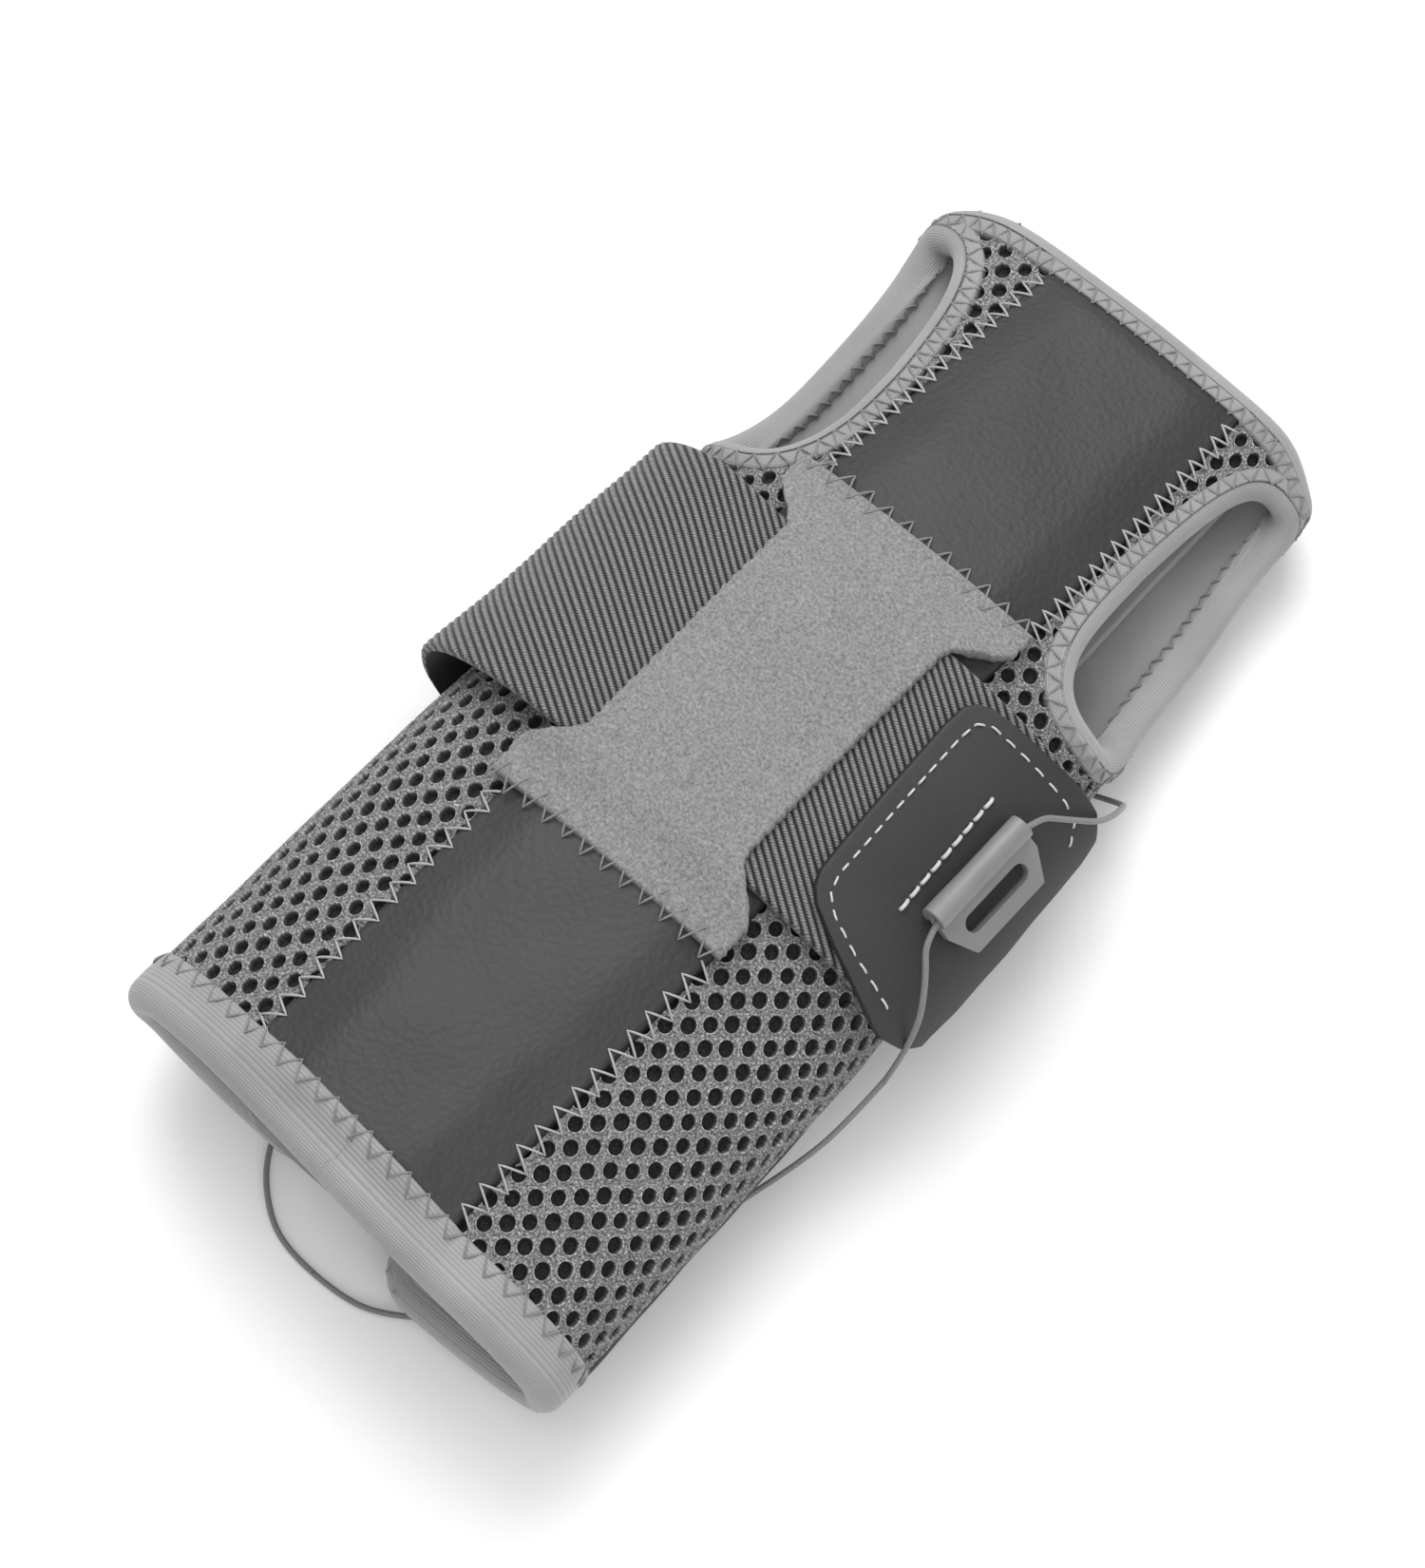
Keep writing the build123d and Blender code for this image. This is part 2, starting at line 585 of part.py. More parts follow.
with BuildPart() as tongue:
    add(band(*TONGUE))
    add(lower, mode=Mode.INTERSECT)
    add(plan_prism(tongue_outline, TONGUE_CORNER), mode=Mode.INTERSECT)
    add(across_fold)
    add(seam)
finish("tongue", tongue)

# ---- the strap's end on the left flap ----
with BuildPart() as strap_flap_end:
    add(strap_layer)
    add(below_fold(STRAP_FOLD_DROP), mode=Mode.INTERSECT)
    add(plan_box(-FAR, -STRAP_TIP_X, -FAR, FAR), mode=Mode.INTERSECT)
finish("strap_flap_end", strap_flap_end)

with BuildPart() as strap_hook:
    add(band(*HOOK))
    add(lower, mode=Mode.INTERSECT)
    add(plan_box(-STRAP_TIP_X - 11, -STRAP_TIP_X - 1, STRAP_START + 1, STRAP_END - 1, 2.0), mode=Mode.INTERSECT)
finish("strap_hook", strap_hook)
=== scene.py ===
from math import cos, pi, radians, sin

import bpy
import numpy as np
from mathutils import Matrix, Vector


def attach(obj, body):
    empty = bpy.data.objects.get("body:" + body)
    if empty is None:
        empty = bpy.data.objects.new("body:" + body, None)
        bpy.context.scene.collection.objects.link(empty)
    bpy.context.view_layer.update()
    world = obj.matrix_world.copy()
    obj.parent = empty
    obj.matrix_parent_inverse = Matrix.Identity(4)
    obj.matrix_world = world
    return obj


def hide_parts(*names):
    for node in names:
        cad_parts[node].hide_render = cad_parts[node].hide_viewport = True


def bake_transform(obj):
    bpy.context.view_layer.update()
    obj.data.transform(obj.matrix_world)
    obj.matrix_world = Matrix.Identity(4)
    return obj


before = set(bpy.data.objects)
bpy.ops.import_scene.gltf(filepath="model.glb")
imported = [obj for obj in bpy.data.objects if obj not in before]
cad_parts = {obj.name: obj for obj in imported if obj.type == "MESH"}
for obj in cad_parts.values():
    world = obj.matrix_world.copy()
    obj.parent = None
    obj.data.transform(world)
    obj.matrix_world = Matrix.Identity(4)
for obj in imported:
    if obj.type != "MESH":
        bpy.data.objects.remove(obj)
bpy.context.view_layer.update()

rng = np.random.default_rng(7)
MM = 0.001

# ---- the sleeve's own shape, as in the CAD: sections along Y, in millimetres ----
HALF_LENGTH = 101.5
STATION_Y = np.array([-104.0, -60.0, -20.0, 20.0, 45.0, 75.0, 104.0])
STATION_HALF_WIDTH = np.array([47.2, 46.6, 45.2, 43.6, 42.6, 41.6, 40.6])
STATION_TOP = np.array([39.8, 40.2, 39.8, 38.2, 35.0, 29.6, 25.4])
SHELL_BOTTOM = 4.6
FOLD_FOREARM, FOLD_HAND = 21.5, 14.5
ROUNDNESS = 2.3
WALL = 4.5
FOREARM_TAPE, THUMB_TAPE, FLAP_TAPE = 10.0, 5.5, 5.5
TAPE_TOP, TAPE_BOTTOM = 0.9, -WALL - 0.9
FLAP_EDGE = 8.0
FLAP_CORNER = 9.0
OVERLAP = 0.4
LEFT_SETBACK = 6.0
THUMB_START, THUMB_END, THUMB_EDGE_X = 39.0, 90.0, 27.5


def spline_through(x, values):
    """A natural cubic spline through the stations, as a function of Y."""
    n = len(x)
    h = np.diff(x)
    a = np.eye(n)
    b = np.zeros(n)
    for i in range(1, n - 1):
        a[i, i - 1:i + 2] = h[i - 1], 2 * (h[i - 1] + h[i]), h[i]
        b[i] = 6 * ((values[i + 1] - values[i]) / h[i] - (values[i] - values[i - 1]) / h[i - 1])
    m = np.linalg.solve(a, b)

    def at(y):
        y = np.clip(y, x[0] - 12, x[-1])
        i = np.clip(np.searchsorted(x, y) - 1, 0, n - 2)
        t, u = y - x[i], x[i + 1] - y
        return ((m[i] * u ** 3 + m[i + 1] * t ** 3) / (6 * h[i])
                + (values[i] / h[i] - m[i] * h[i] / 6) * u + (values[i + 1] / h[i] - m[i + 1] * h[i] / 6) * t)
    return at


def smooth(t):
    t = np.clip(t, 0, 1)
    return t * t * (3 - 2 * t)


half_width = spline_through(STATION_Y, STATION_HALF_WIDTH)
top_height = spline_through(STATION_Y, STATION_TOP)


def fold_height(y):
    return FOLD_FOREARM + (FOLD_HAND - FOLD_FOREARM) * (y + HALF_LENGTH) / (2 * HALF_LENGTH)


# A table of half-sections, from the top middle over the side fold to the bottom middle,
# by distance along the section.
TABLE_Y = np.linspace(-116, 104, 89)
TABLE_Q = np.linspace(0, 1, 361)


def half_section(y):
    phi = np.linspace(pi / 2, -pi / 2, 1441)
    fold = fold_height(y)
    x = half_width(y) * np.abs(np.cos(phi)) ** (2 / ROUNDNESS)
    rise = np.where(phi >= 0, top_height(y) - fold, fold - SHELL_BOTTOM)
    z = fold + rise * np.sign(np.sin(phi)) * np.abs(np.sin(phi)) ** (2 / ROUNDNESS)
    run = np.concatenate([[0], np.cumsum(np.hypot(np.diff(x), np.diff(z)))])
    q = run / run[-1]
    xq, zq = np.interp(TABLE_Q, q, x), np.interp(TABLE_Q, q, z)
    tangent = np.array([np.gradient(xq), np.gradient(zq)])
    tangent /= np.linalg.norm(tangent, axis=0)
    kernel = np.hanning(9) / np.hanning(9).sum()
    normal = np.array([np.convolve(np.pad(-tangent[1], 4, mode="edge"), kernel, "valid"),
                       np.convolve(np.pad(tangent[0], 4, mode="edge"), kernel, "valid")])
    normal /= np.linalg.norm(normal, axis=0)
    fold_run = np.interp(0, phi[::-1], run[::-1])
    return xq, zq, normal[0], normal[1], run[-1], fold_run


rows = [half_section(y) for y in TABLE_Y]
TABLE = [np.array([row[k] for row in rows]) for k in range(4)]
TOTAL = np.array([row[4] for row in rows])
FOLD_RUN = np.array([row[5] for row in rows])


def total(y):
    return np.interp(y, TABLE_Y, TOTAL)


def fold_at(y):
    return np.interp(y, TABLE_Y, FOLD_RUN)


def look_up(table, s, y):
    i = np.clip((y - TABLE_Y[0]) / (TABLE_Y[1] - TABLE_Y[0]), 0, len(TABLE_Y) - 1.001)
    j = np.clip(np.abs(s) / total(y), 0, 1) * (len(TABLE_Q) - 1.001)
    i0, j0 = i.astype(int), j.astype(int)
    fi, fj = i - i0, j - j0
    return ((1 - fi) * ((1 - fj) * table[i0, j0] + fj * table[i0, j0 + 1])
            + fi * ((1 - fj) * table[i0 + 1, j0] + fj * table[i0 + 1, j0 + 1]))


def ripple(s, y):
    """The slight unevenness of soft fabric, a few tenths of a millimetre."""
    broad = 0.25 * np.sin(s * 0.11 + y * 0.05) * np.sin(y * 0.083 + 1.3)
    return broad + 0.12 * np.sin(s * 0.23 - y * 0.19 + 2)


def wrap(s, y, h):
    """Points h millimetres above the sleeve, s along its section from the top middle."""
    s, y, h = np.broadcast_arrays(np.asarray(s, float), np.asarray(y, float), np.asarray(h, float))
    s, y, h = s.ravel(), y.ravel(), h.ravel()
    side = np.where(s < 0, -1.0, 1.0)
    h = h + ripple(s, y)
    x = (look_up(TABLE[0], s, y) + look_up(TABLE[2], s, y) * h) * side
    z = look_up(TABLE[1], s, y) + look_up(TABLE[3], s, y) * h
    hand = smooth((y - 50) / 50)
    x = x - hand * (0.8 + 3.6 * smooth((x - 15) / 25) + 1.5 * smooth((-x - 20) / 20))
    return np.stack([x, y, z], 1)


def run_to(x, y, lower=False, height=0.0):
    """The distance along the section at which a layer at that height reaches x."""
    q = np.linspace(0, 1, 721)
    x_values = wrap(q * total(y), np.full_like(q, y), height)[:, 0]
    turn = int(np.argmax(x_values))
    part = slice(turn, None) if lower else slice(0, turn)
    order = np.argsort(x_values[part])
    return float(np.sign(x) * np.interp(abs(x), x_values[part][order], (q * total(y))[part][order]))


def runs_to(x, stations, y, lower=False):
    """run_to at a few stations along Y, and straight between them."""
    return np.interp(y, stations, [run_to(x, v, lower) for v in stations])


# ---- mesh helpers ----
def add_object(name, data):
    made = bpy.data.objects.new(name, data)
    bpy.context.scene.collection.objects.link(made)
    return made


def new_mesh(name, points, faces, materials, uv=None, face_material=None):
    mesh = bpy.data.meshes.new(name)
    mesh.from_pydata((np.asarray(points) * MM).tolist(), [], [list(f) for f in faces])
    for material in materials:
        mesh.materials.append(material)
    if face_material is not None:
        mesh.polygons.foreach_set("material_index", np.asarray(face_material, dtype=np.int32))
    mesh.polygons.foreach_set("use_smooth", np.full(len(mesh.polygons), True))
    if uv is not None:
        layer = mesh.uv_layers.new(name="UVMap")
        loops = np.zeros(len(mesh.loops), dtype=np.int32)
        mesh.loops.foreach_get("vertex_index", loops)
        layer.data.foreach_set("uv", (np.asarray(uv)[loops] * MM).astype(np.float32).ravel())
    mesh.validate()
    mesh.update()
    return add_object(name, mesh)


def grid_faces(rows, columns, close_columns=False, close_rows=False):
    i = np.arange(rows if close_rows else rows - 1)[:, None]
    j = np.arange(columns if close_columns else columns - 1)[None, :]
    i1, j1 = (i + 1) % rows, (j + 1) % columns
    here, after = i * columns, i1 * columns
    return np.stack(np.broadcast_arrays(here + j, here + j1, after + j1, after + j), -1).reshape(-1, 4)


def join_parts(parts):
    """Several (points, faces, uv) sets as one."""
    points, faces, uvs, count = [], [], [], 0
    for p, f, uv in parts:
        points.append(p)
        uvs.append(uv)
        faces.extend((np.asarray(face) + count).tolist() for face in f)
        count += len(p)
    return np.concatenate(points), faces, np.concatenate(uvs)


def tube_parts(line, radius, sides=6, closed=False):
    """A round tube along a line of points, with flat ends unless it is a closed loop."""
    line = np.asarray(line, float)
    tangent = np.roll(line, -1, 0) - np.roll(line, 1, 0) if closed else np.gradient(line, axis=0)
    tangent /= np.maximum(np.linalg.norm(tangent, axis=1), 1e-9)[:, None]
    normal = np.zeros_like(line)
    first = np.cross(tangent[0], [0.3, 0.2, 1.0])
    normal[0] = first / np.linalg.norm(first)
    for k in range(1, len(line)):
        n = normal[k - 1] - tangent[k] * (normal[k - 1] @ tangent[k])
        normal[k] = n / max(np.linalg.norm(n), 1e-9)
    other = np.cross(tangent, normal)
    angle = np.arange(sides) * 2 * pi / sides
    ring = (np.cos(angle)[None, :, None] * normal[:, None] + np.sin(angle)[None, :, None] * other[:, None])
    points = (line[:, None] + ring * radius).reshape(-1, 3)
    run = np.concatenate([[0], np.cumsum(np.linalg.norm(np.diff(line, axis=0), axis=1))])
    uv = np.stack(np.broadcast_arrays(run[:, None], (angle * radius)[None, :]), -1).reshape(-1, 2)
    faces = grid_faces(len(line), sides, close_columns=True, close_rows=closed).tolist()
    if not closed:
        faces.append(list(range(sides))[::-1])
        faces.append([len(points) - sides + k for k in range(sides)])
    return points, faces, uv


def thread_piece(name, parts, thread):
    points, faces, uv = parts
    return new_mesh(name, points, faces, [thread], uv)


# ---- materials ----
def material(name, base, roughness=0.8, sheen=0.0, specular=0.4):
    made = bpy.data.materials.new(name)
    made.use_nodes = True
    shader = made.node_tree.nodes["Principled BSDF"]
    shader.inputs["Roughness"].default_value = roughness
    shader.inputs["Base Color"].default_value = (*base, 1)
    shader.inputs["Specular IOR Level"].default_value = specular
    if sheen:
        shader.inputs["Sheen Weight"].default_value = sheen
        shader.inputs["Sheen Roughness"].default_value = 0.5
    return made


def node(made, kind, **values):
    """One shader node, with its inputs or properties set by name."""
    made_node = made.node_tree.nodes.new(kind)
    for key, value in values.items():
        if key in made_node.inputs:
            made_node.inputs[key].default_value = value
        else:
            setattr(made_node, key, value)
    return made_node


def link(made, start, end):
    made.node_tree.links.new(start, end)


def coordinates(made, kind="Object", scale=(1, 1, 1), turn=0.0):
    source = node(made, "ShaderNodeTexCoord")
    mapping = node(made, "ShaderNodeMapping")
    mapping.inputs["Scale"].default_value = scale
    mapping.inputs["Rotation"].default_value = (0, 0, turn)
    link(made, source.outputs[kind], mapping.inputs["Vector"])
    return mapping.outputs["Vector"]


def noise(made, vector, scale, detail=3.0, rough=0.6):
    texture = node(made, "ShaderNodeTexNoise", Scale=scale, Detail=detail, Roughness=rough)
    link(made, vector, texture.inputs["Vector"])
    return texture.outputs["Fac"]


def ramp(made, factor, stops):
    """A colour ramp from (position, grey) stops."""
    made_node = node(made, "ShaderNodeValToRGB")
    elements = made_node.color_ramp.elements
    while len(elements) < len(stops):
        elements.new(0.5)
    for element, (position, grey) in zip(elements, stops):
        element.position = position
        element.color = (grey, grey, grey, 1)
    link(made, factor, made_node.inputs["Fac"])
    return made_node.outputs["Color"]


def mixed(made, mode, factor, first, second):
    made_node = node(made, "ShaderNodeMix", data_type="RGBA", blend_type=mode)
    made_node.inputs[0].default_value = factor
    link(made, first, made_node.inputs[6])
    link(made, second, made_node.inputs[7])
    return made_node.outputs[2]


def add_bump(made, heights):
    """Bump from (height socket, strength, distance in metres) layers, one after another."""
    shader = made.node_tree.nodes["Principled BSDF"]
    last = None
    for height, strength, distance in heights:
        bump = node(made, "ShaderNodeBump", Strength=strength, Distance=distance)
        link(made, height, bump.inputs["Height"])
        if last is not None:
            link(made, last, bump.inputs["Normal"])
        last = bump.outputs["Normal"]
    link(made, last, shader.inputs["Normal"])


def colour(made, socket):
    link(made, socket, made.node_tree.nodes["Principled BSDF"].inputs["Base Color"])


def band_scale(pitch):
    """The scale at which a wave texture's bands lie this many metres apart."""
    return 2 * pi / 20 / pitch


def knit_material():
    made = material("mesh_yarn", (0.4, 0.4, 0.4), roughness=0.8, sheen=0.1)
    uv = coordinates(made, "UV")
    strands = noise(made, uv, 2300, 3.0, 0.75)
    loops = node(made, "ShaderNodeTexVoronoi", Scale=2100.0, Randomness=0.8)
    link(made, uv, loops.inputs["Vector"])
    # the yarn's rim colour from this attribute is painted light and shade: dark in the holes and between the
    # rims, light on the rims' tops
    ridge_and_shade = node(made, "ShaderNodeAttribute", attribute_name="painted_rib_shade")
    speckle = ramp(made, strands, [(0.36, 0.11), (0.5, 0.44), (0.66, 0.86)])
    cells = ramp(made, loops.outputs["Distance"], [(0.1, 1.0), (0.7, 0.3)])
    lines = ramp(made, ridge_and_shade.outputs["Fac"], [(0.2, 0.22), (0.5, 0.6), (1.0, 1.0)])
    fleck = mixed(made, "MULTIPLY", 0.75, speckle, cells)
    colour(made, mixed(made, "MULTIPLY", 1.0, fleck, lines))
    add_bump(made, [(strands, 0.7, 0.0003), (loops.outputs["Distance"], 0.5, 0.0002)])
    return made


def core_material():
    made = material("mesh_core", (0.02, 0.02, 0.02), roughness=0.9)
    uv = coordinates(made, "UV")
    fibres = noise(made, uv, 1900, 3.0, 0.7)
    colour(made, ramp(made, fibres, [(0.35, 0.006), (0.6, 0.03), (0.8, 0.09)]))
    add_bump(made, [(fibres, 0.7, 0.0004)])
    return made


def tape_material():
    made = material("edge_tape", (0.5, 0.5, 0.5), roughness=0.72, sheen=0.25)
    uv = coordinates(made, "UV")
    ribs = node(made, "ShaderNodeTexWave", wave_type="BANDS", bands_direction="Y",
                Scale=band_scale(0.00048))
    ribs.inputs["Distortion"].default_value = 0.4
    link(made, uv, ribs.inputs["Vector"])
    weave = noise(made, uv, 1500, 2.0, 0.6)
    patches = noise(made, coordinates(made), 60, 3.0, 0.5)
    shade = ramp(made, patches, [(0.3, 0.27), (0.7, 0.33)])
    lines = ramp(made, ribs.outputs["Fac"], [(0.0, 0.74), (0.45, 1.0)])
    colour(made, mixed(made, "MULTIPLY", 0.9, shade, lines))
    add_bump(made, [(ribs.outputs["Fac"], 0.45, 0.0002), (weave, 0.25, 0.0001)])
    return made


def lining_material():
    made = material("lining_knit", (0.5, 0.5, 0.5), roughness=0.85, sheen=0.3)
    place = coordinates(made)
    weave = noise(made, place, 1300, 2.0, 0.6)
    patches = noise(made, place, 45, 3.0, 0.5)
    colour(made, ramp(made, patches, [(0.3, 0.27), (0.7, 0.33)]))
    add_bump(made, [(weave, 0.3, 0.00015)])
    return made


def leather_material(name, dark, light, grain=900.0, rough=0.5, bump=0.35):
    made = material(name, (dark, dark, dark), roughness=rough, specular=0.45)
    place = coordinates(made)
    pebbles = node(made, "ShaderNodeTexVoronoi", Scale=grain, Randomness=1.0, feature="SMOOTH_F1")
    link(made, place, pebbles.inputs["Vector"])
    wear = noise(made, place, 40, 3.0, 0.5)
    pores = noise(made, place, grain * 2.2, 3.0, 0.6)
    shade = ramp(made, wear, [(0.3, dark), (0.7, light)])
    grey = ramp(made, pebbles.outputs["Distance"], [(0.0, 1.0), (0.6, 0.86)])
    colour(made, mixed(made, "MULTIPLY", 0.9, shade, grey))
    add_bump(made, [(pebbles.outputs["Distance"], bump, 0.0002), (pores, bump * 0.6, 0.0001)])
    return made


def felt_material():
    made = material("loop_felt", (0.25, 0.25, 0.25), roughness=0.95, sheen=0.2, specular=0.15)
    place = coordinates(made)
    fine = noise(made, place, 1900, 4.0, 0.75)
    tufts = noise(made, place, 700, 3.0, 0.6)
    patches = noise(made, place, 50, 3.0, 0.5)
    shade = ramp(made, fine, [(0.3, 0.12), (0.5, 0.235), (0.7, 0.36)])
    broad = ramp(made, patches, [(0.3, 0.93), (0.7, 1.0)])
    colour(made, mixed(made, "MULTIPLY", 1.0, shade, broad))
    add_bump(made, [(fine, 0.6, 0.0004), (tufts, 0.3, 0.0004)])
    return made


def strap_material():
    made = material("twill_elastic", (0.14, 0.14, 0.14), roughness=0.85, sheen=0.2)
    fibres = noise(made, coordinates(made, "UV", scale=(1.0, 2.2, 1.0), turn=0.35), 1800, 3.0, 0.7)
    threads = node(made, "ShaderNodeTexWave", wave_type="BANDS", bands_direction="X",
                   Scale=band_scale(0.00043))
    threads.inputs["Distortion"].default_value = 0.7
    threads.inputs["Detail Scale"].default_value = 2.0
    link(made, coordinates(made, "UV", turn=0.98), threads.inputs["Vector"])
    # the strap's colour from this attribute is painted shade: nearly black in the grooves between its ribs,
    # lighter on their tops
    height = node(made, "ShaderNodeAttribute", attribute_name="painted_rib_shade")
    ribs = ramp(made, height.outputs["Fac"], [(0.25, 0.004), (0.5, 0.13), (0.85, 0.33)])
    grain = ramp(made, fibres, [(0.35, 0.5), (0.62, 1.0)])
    twist = ramp(made, threads.outputs["Fac"], [(0.1, 0.5), (0.6, 1.0)])
    colour(made, mixed(made, "MULTIPLY", 1.0, mixed(made, "MULTIPLY", 1.0, ribs, grain), twist))
    add_bump(made, [(threads.outputs["Fac"], 0.5, 0.0002), (fibres, 0.5, 0.0002)])
    return made


def thread_material(name, grey):
    made = material(name, (grey, grey, grey), roughness=0.6, sheen=0.2)
    place = coordinates(made)
    twist = noise(made, place, 2500, 2.0, 0.6)
    colour(made, ramp(made, twist, [(0.3, grey * 0.75), (0.7, grey)]))
    add_bump(made, [(twist, 0.4, 0.0001)])
    return made


def plastic_material(name, grey, rough=0.42):
    made = material(name, (grey, grey, grey), roughness=rough, specular=0.5)
    place = coordinates(made)
    texture = noise(made, place, 900, 3.0, 0.6)
    wear = noise(made, place, 120, 3.0, 0.5)
    colour(made, ramp(made, wear, [(0.3, grey * 0.92), (0.7, grey * 1.05)]))
    add_bump(made, [(texture, 0.12, 0.0001)])
    return made


def metal_material():
    made = material("stay_aluminium", (0.75, 0.75, 0.76), roughness=0.35)
    made.node_tree.nodes["Principled BSDF"].inputs["Metallic"].default_value = 1.0
    brushed = noise(made, coordinates(made, scale=(1, 0.03, 1)), 1600, 3.0, 0.6)
    colour(made, ramp(made, brushed, [(0.3, 0.6), (0.7, 0.8)]))
    add_bump(made, [(brushed, 0.15, 0.0001)])
    return made


YARN = knit_material()
CORE = core_material()
TAPE = tape_material()
LINING = lining_material()
COVER = leather_material("cover_leather", 0.024, 0.032, grain=1100.0, rough=0.56, bump=0.6)
FACING = leather_material("facing_leather", 0.022, 0.03)
TAB = leather_material("tab_leather", 0.026, 0.033, grain=1500.0, rough=0.62, bump=0.15)
FELT = felt_material()
STRAP = strap_material()
THREAD = thread_material("stitch_thread", 0.42)
TAPE_THREAD = thread_material("tape_thread", 0.22)
TAB_THREAD = thread_material("tab_thread", 0.6)
CORD = thread_material("lace_braid", 0.2)
PLASTIC = plastic_material("guide_plastic", 0.2)
HOOKS = plastic_material("hook_plastic", 0.05, 0.6)
METAL = metal_material()


# ---- outlines on the sleeve, as distances along the section and along Y ----
def hand_end(s):
    """Y of the hand edge: it dips a little where it goes round the side folds."""
    return HALF_LENGTH - 4.0 * np.exp(-((np.abs(s) - fold_at(HALF_LENGTH)) / 9) ** 2)


def forearm_end(s, side):
    """Y of the forearm edge, cut slightly at a slant; the left flap's edge is set back."""
    fold = fold_at(-HALF_LENGTH)
    slant = 5.0 * smooth((30 - side * np.abs(s)) / (fold + 26))
    if side > 0:
        return -HALF_LENGTH + slant
    return -HALF_LENGTH + slant + (LEFT_SETBACK - 5.0) * smooth((np.abs(s) - fold + 2) / 12)


def perimeter_path(side):
    """One side's whole edge: forearm end, laced edge and hand end, as points (s, y)."""
    corner = FLAP_CORNER
    s_edge = total(-HALF_LENGTH) - FLAP_EDGE
    s = np.linspace(-OVERLAP, s_edge - corner, 120)
    first = np.stack([s, forearm_end(s, side)], 1)
    start_y = first[-1, 1]
    turn = np.linspace(0, pi / 2, 24)[1:-1]
    second = np.stack([s_edge - corner + corner * np.sin(turn), start_y + corner - corner * np.cos(turn)], 1)
    y = np.linspace(start_y + corner, HALF_LENGTH - corner, 150)
    third = np.stack([total(y) - FLAP_EDGE, y], 1)
    s_hand = total(HALF_LENGTH) - FLAP_EDGE
    fourth = np.stack([s_hand - corner + corner * np.cos(turn),
                       HALF_LENGTH - corner + corner * np.sin(turn)], 1)
    s = np.linspace(s_hand - corner, -OVERLAP, 110)
    fifth = np.stack([s, hand_end(s)], 1)
    path = np.concatenate([first, second, third, fourth, fifth])
    return even_path(path * [side, 1], 1.0)


def even_path(path, step, closed=False):
    """The same line with evenly spaced points."""
    if closed:
        path = np.concatenate([path, path[:1]])
    run = np.concatenate([[0], np.cumsum(np.linalg.norm(np.diff(path, axis=0), axis=1))])
    count = max(int(run[-1] / step), 3)
    at = np.linspace(0, run[-1], count + 1)
    if closed:
        at = at[:-1]
    return np.stack([np.interp(at, run, path[:, 0]), np.interp(at, run, path[:, 1])], 1)


THUMB_MIDDLE = (THUMB_START + THUMB_END) / 2
THUMB_HALF = (THUMB_END - THUMB_START) / 2


def thumb_path(side, grow=0.0):
    """The edge of a thumb opening, a rounded shape from beside the stay cover to below the fold."""
    phi = np.linspace(0, 2 * pi, 240, endpoint=False)
    cx = np.sign(np.cos(phi)) * np.abs(np.cos(phi)) ** (2 / 3.0)
    cy = np.sign(np.sin(phi)) * np.abs(np.sin(phi)) ** (2 / 3.0)
    y = THUMB_MIDDLE + (THUMB_HALF + grow) * cy
    near = runs_to(THUMB_EDGE_X, (40.0, 65.0, 90.0), y)
    far = fold_at(y) + np.interp(y, (40.0, 90.0), (3.1, 1.6))
    s = (near + far) / 2 + ((far - near) / 2 + grow) * cx
    return np.stack([s * side, y], 1)


def in_polygon(polygon, s, y):
    inside = np.zeros(len(s), bool)
    for (s0, y0), (s1, y1) in zip(polygon, np.roll(polygon, -1, 0)):
        cross = (y0 > y) != (y1 > y)
        if y0 != y1:
            inside ^= cross & (s < (s1 - s0) * (y - y0) / (y1 - y0) + s0)
    return inside


def edge_band(name, path, width, closed, inward, pucker, pitch=3.6):
    """Binding tape folded over an edge: a closed U-shaped profile swept along the path."""
    widths = np.broadcast_to(np.asarray(width, float), (len(path),))
    ahead = np.roll(path, -1, 0) - np.roll(path, 1, 0) if closed else np.gradient(path, axis=0)
    ahead /= np.linalg.norm(ahead, axis=1)[:, None]
    into = np.stack([-ahead[:, 1], ahead[:, 0]], 1) * inward
    top, bottom = TAPE_TOP, TAPE_BOTTOM
    radius = (top - bottom) / 2
    centre = (top + bottom) / 2
    turn = np.linspace(-pi / 2, pi / 2, 13)
    run = np.arange(len(path)) * np.linalg.norm(path[1] - path[0]) - OVERLAP
    profile = [(1.0, bottom + 0.9, 0), (0.97, bottom + 0.25, 0), (0.75, bottom, 0)]
    profile += [(None, centre + radius * np.sin(t), radius - radius * np.cos(t)) for t in turn]
    profile += [(0.5, top, 0), (0.62, top, 0), (0.8, top, 1), (0.93, top - 0.12, 1), (0.99, top - 0.45, 1),
                (1.0, top - 1.2, 0)]
    rings, around = [], 0.0
    uv = []
    last = None
    for share, height, round_depth in profile:
        depth = np.full(len(path), round_depth) if share is None else share * widths
        h = height
        if share is not None and round_depth and pucker:
            h = height - pucker * (0.5 + 0.5 * np.cos(2 * pi * run / pitch))
        point = path + into * depth[:, None]
        if share is not None and height > -1:
            h = h + over_cover(point[:, 0], point[:, 1])
        here = wrap(point[:, 0], point[:, 1], np.broadcast_to(h, depth.shape))
        if last is not None:
            around += float(np.mean(np.linalg.norm(here - last, axis=1)))
        last = here
        rings.append(here)
        uv.append(np.stack([run, np.full_like(run, around)], 1))
    count = len(profile)
    points = np.stack(rings, 1).reshape(-1, 3)
    uvs = np.stack(uv, 1).reshape(-1, 2)
    faces = grid_faces(len(path), count, close_columns=True, close_rows=closed)
    faces = (faces[:, ::-1] if inward > 0 else faces).tolist()
    if not closed:
        faces.append(list(range(count)))
        faces.append([len(points) - count + k for k in range(count)][::-1])
    return new_mesh(name, points, faces, [TAPE], uvs)


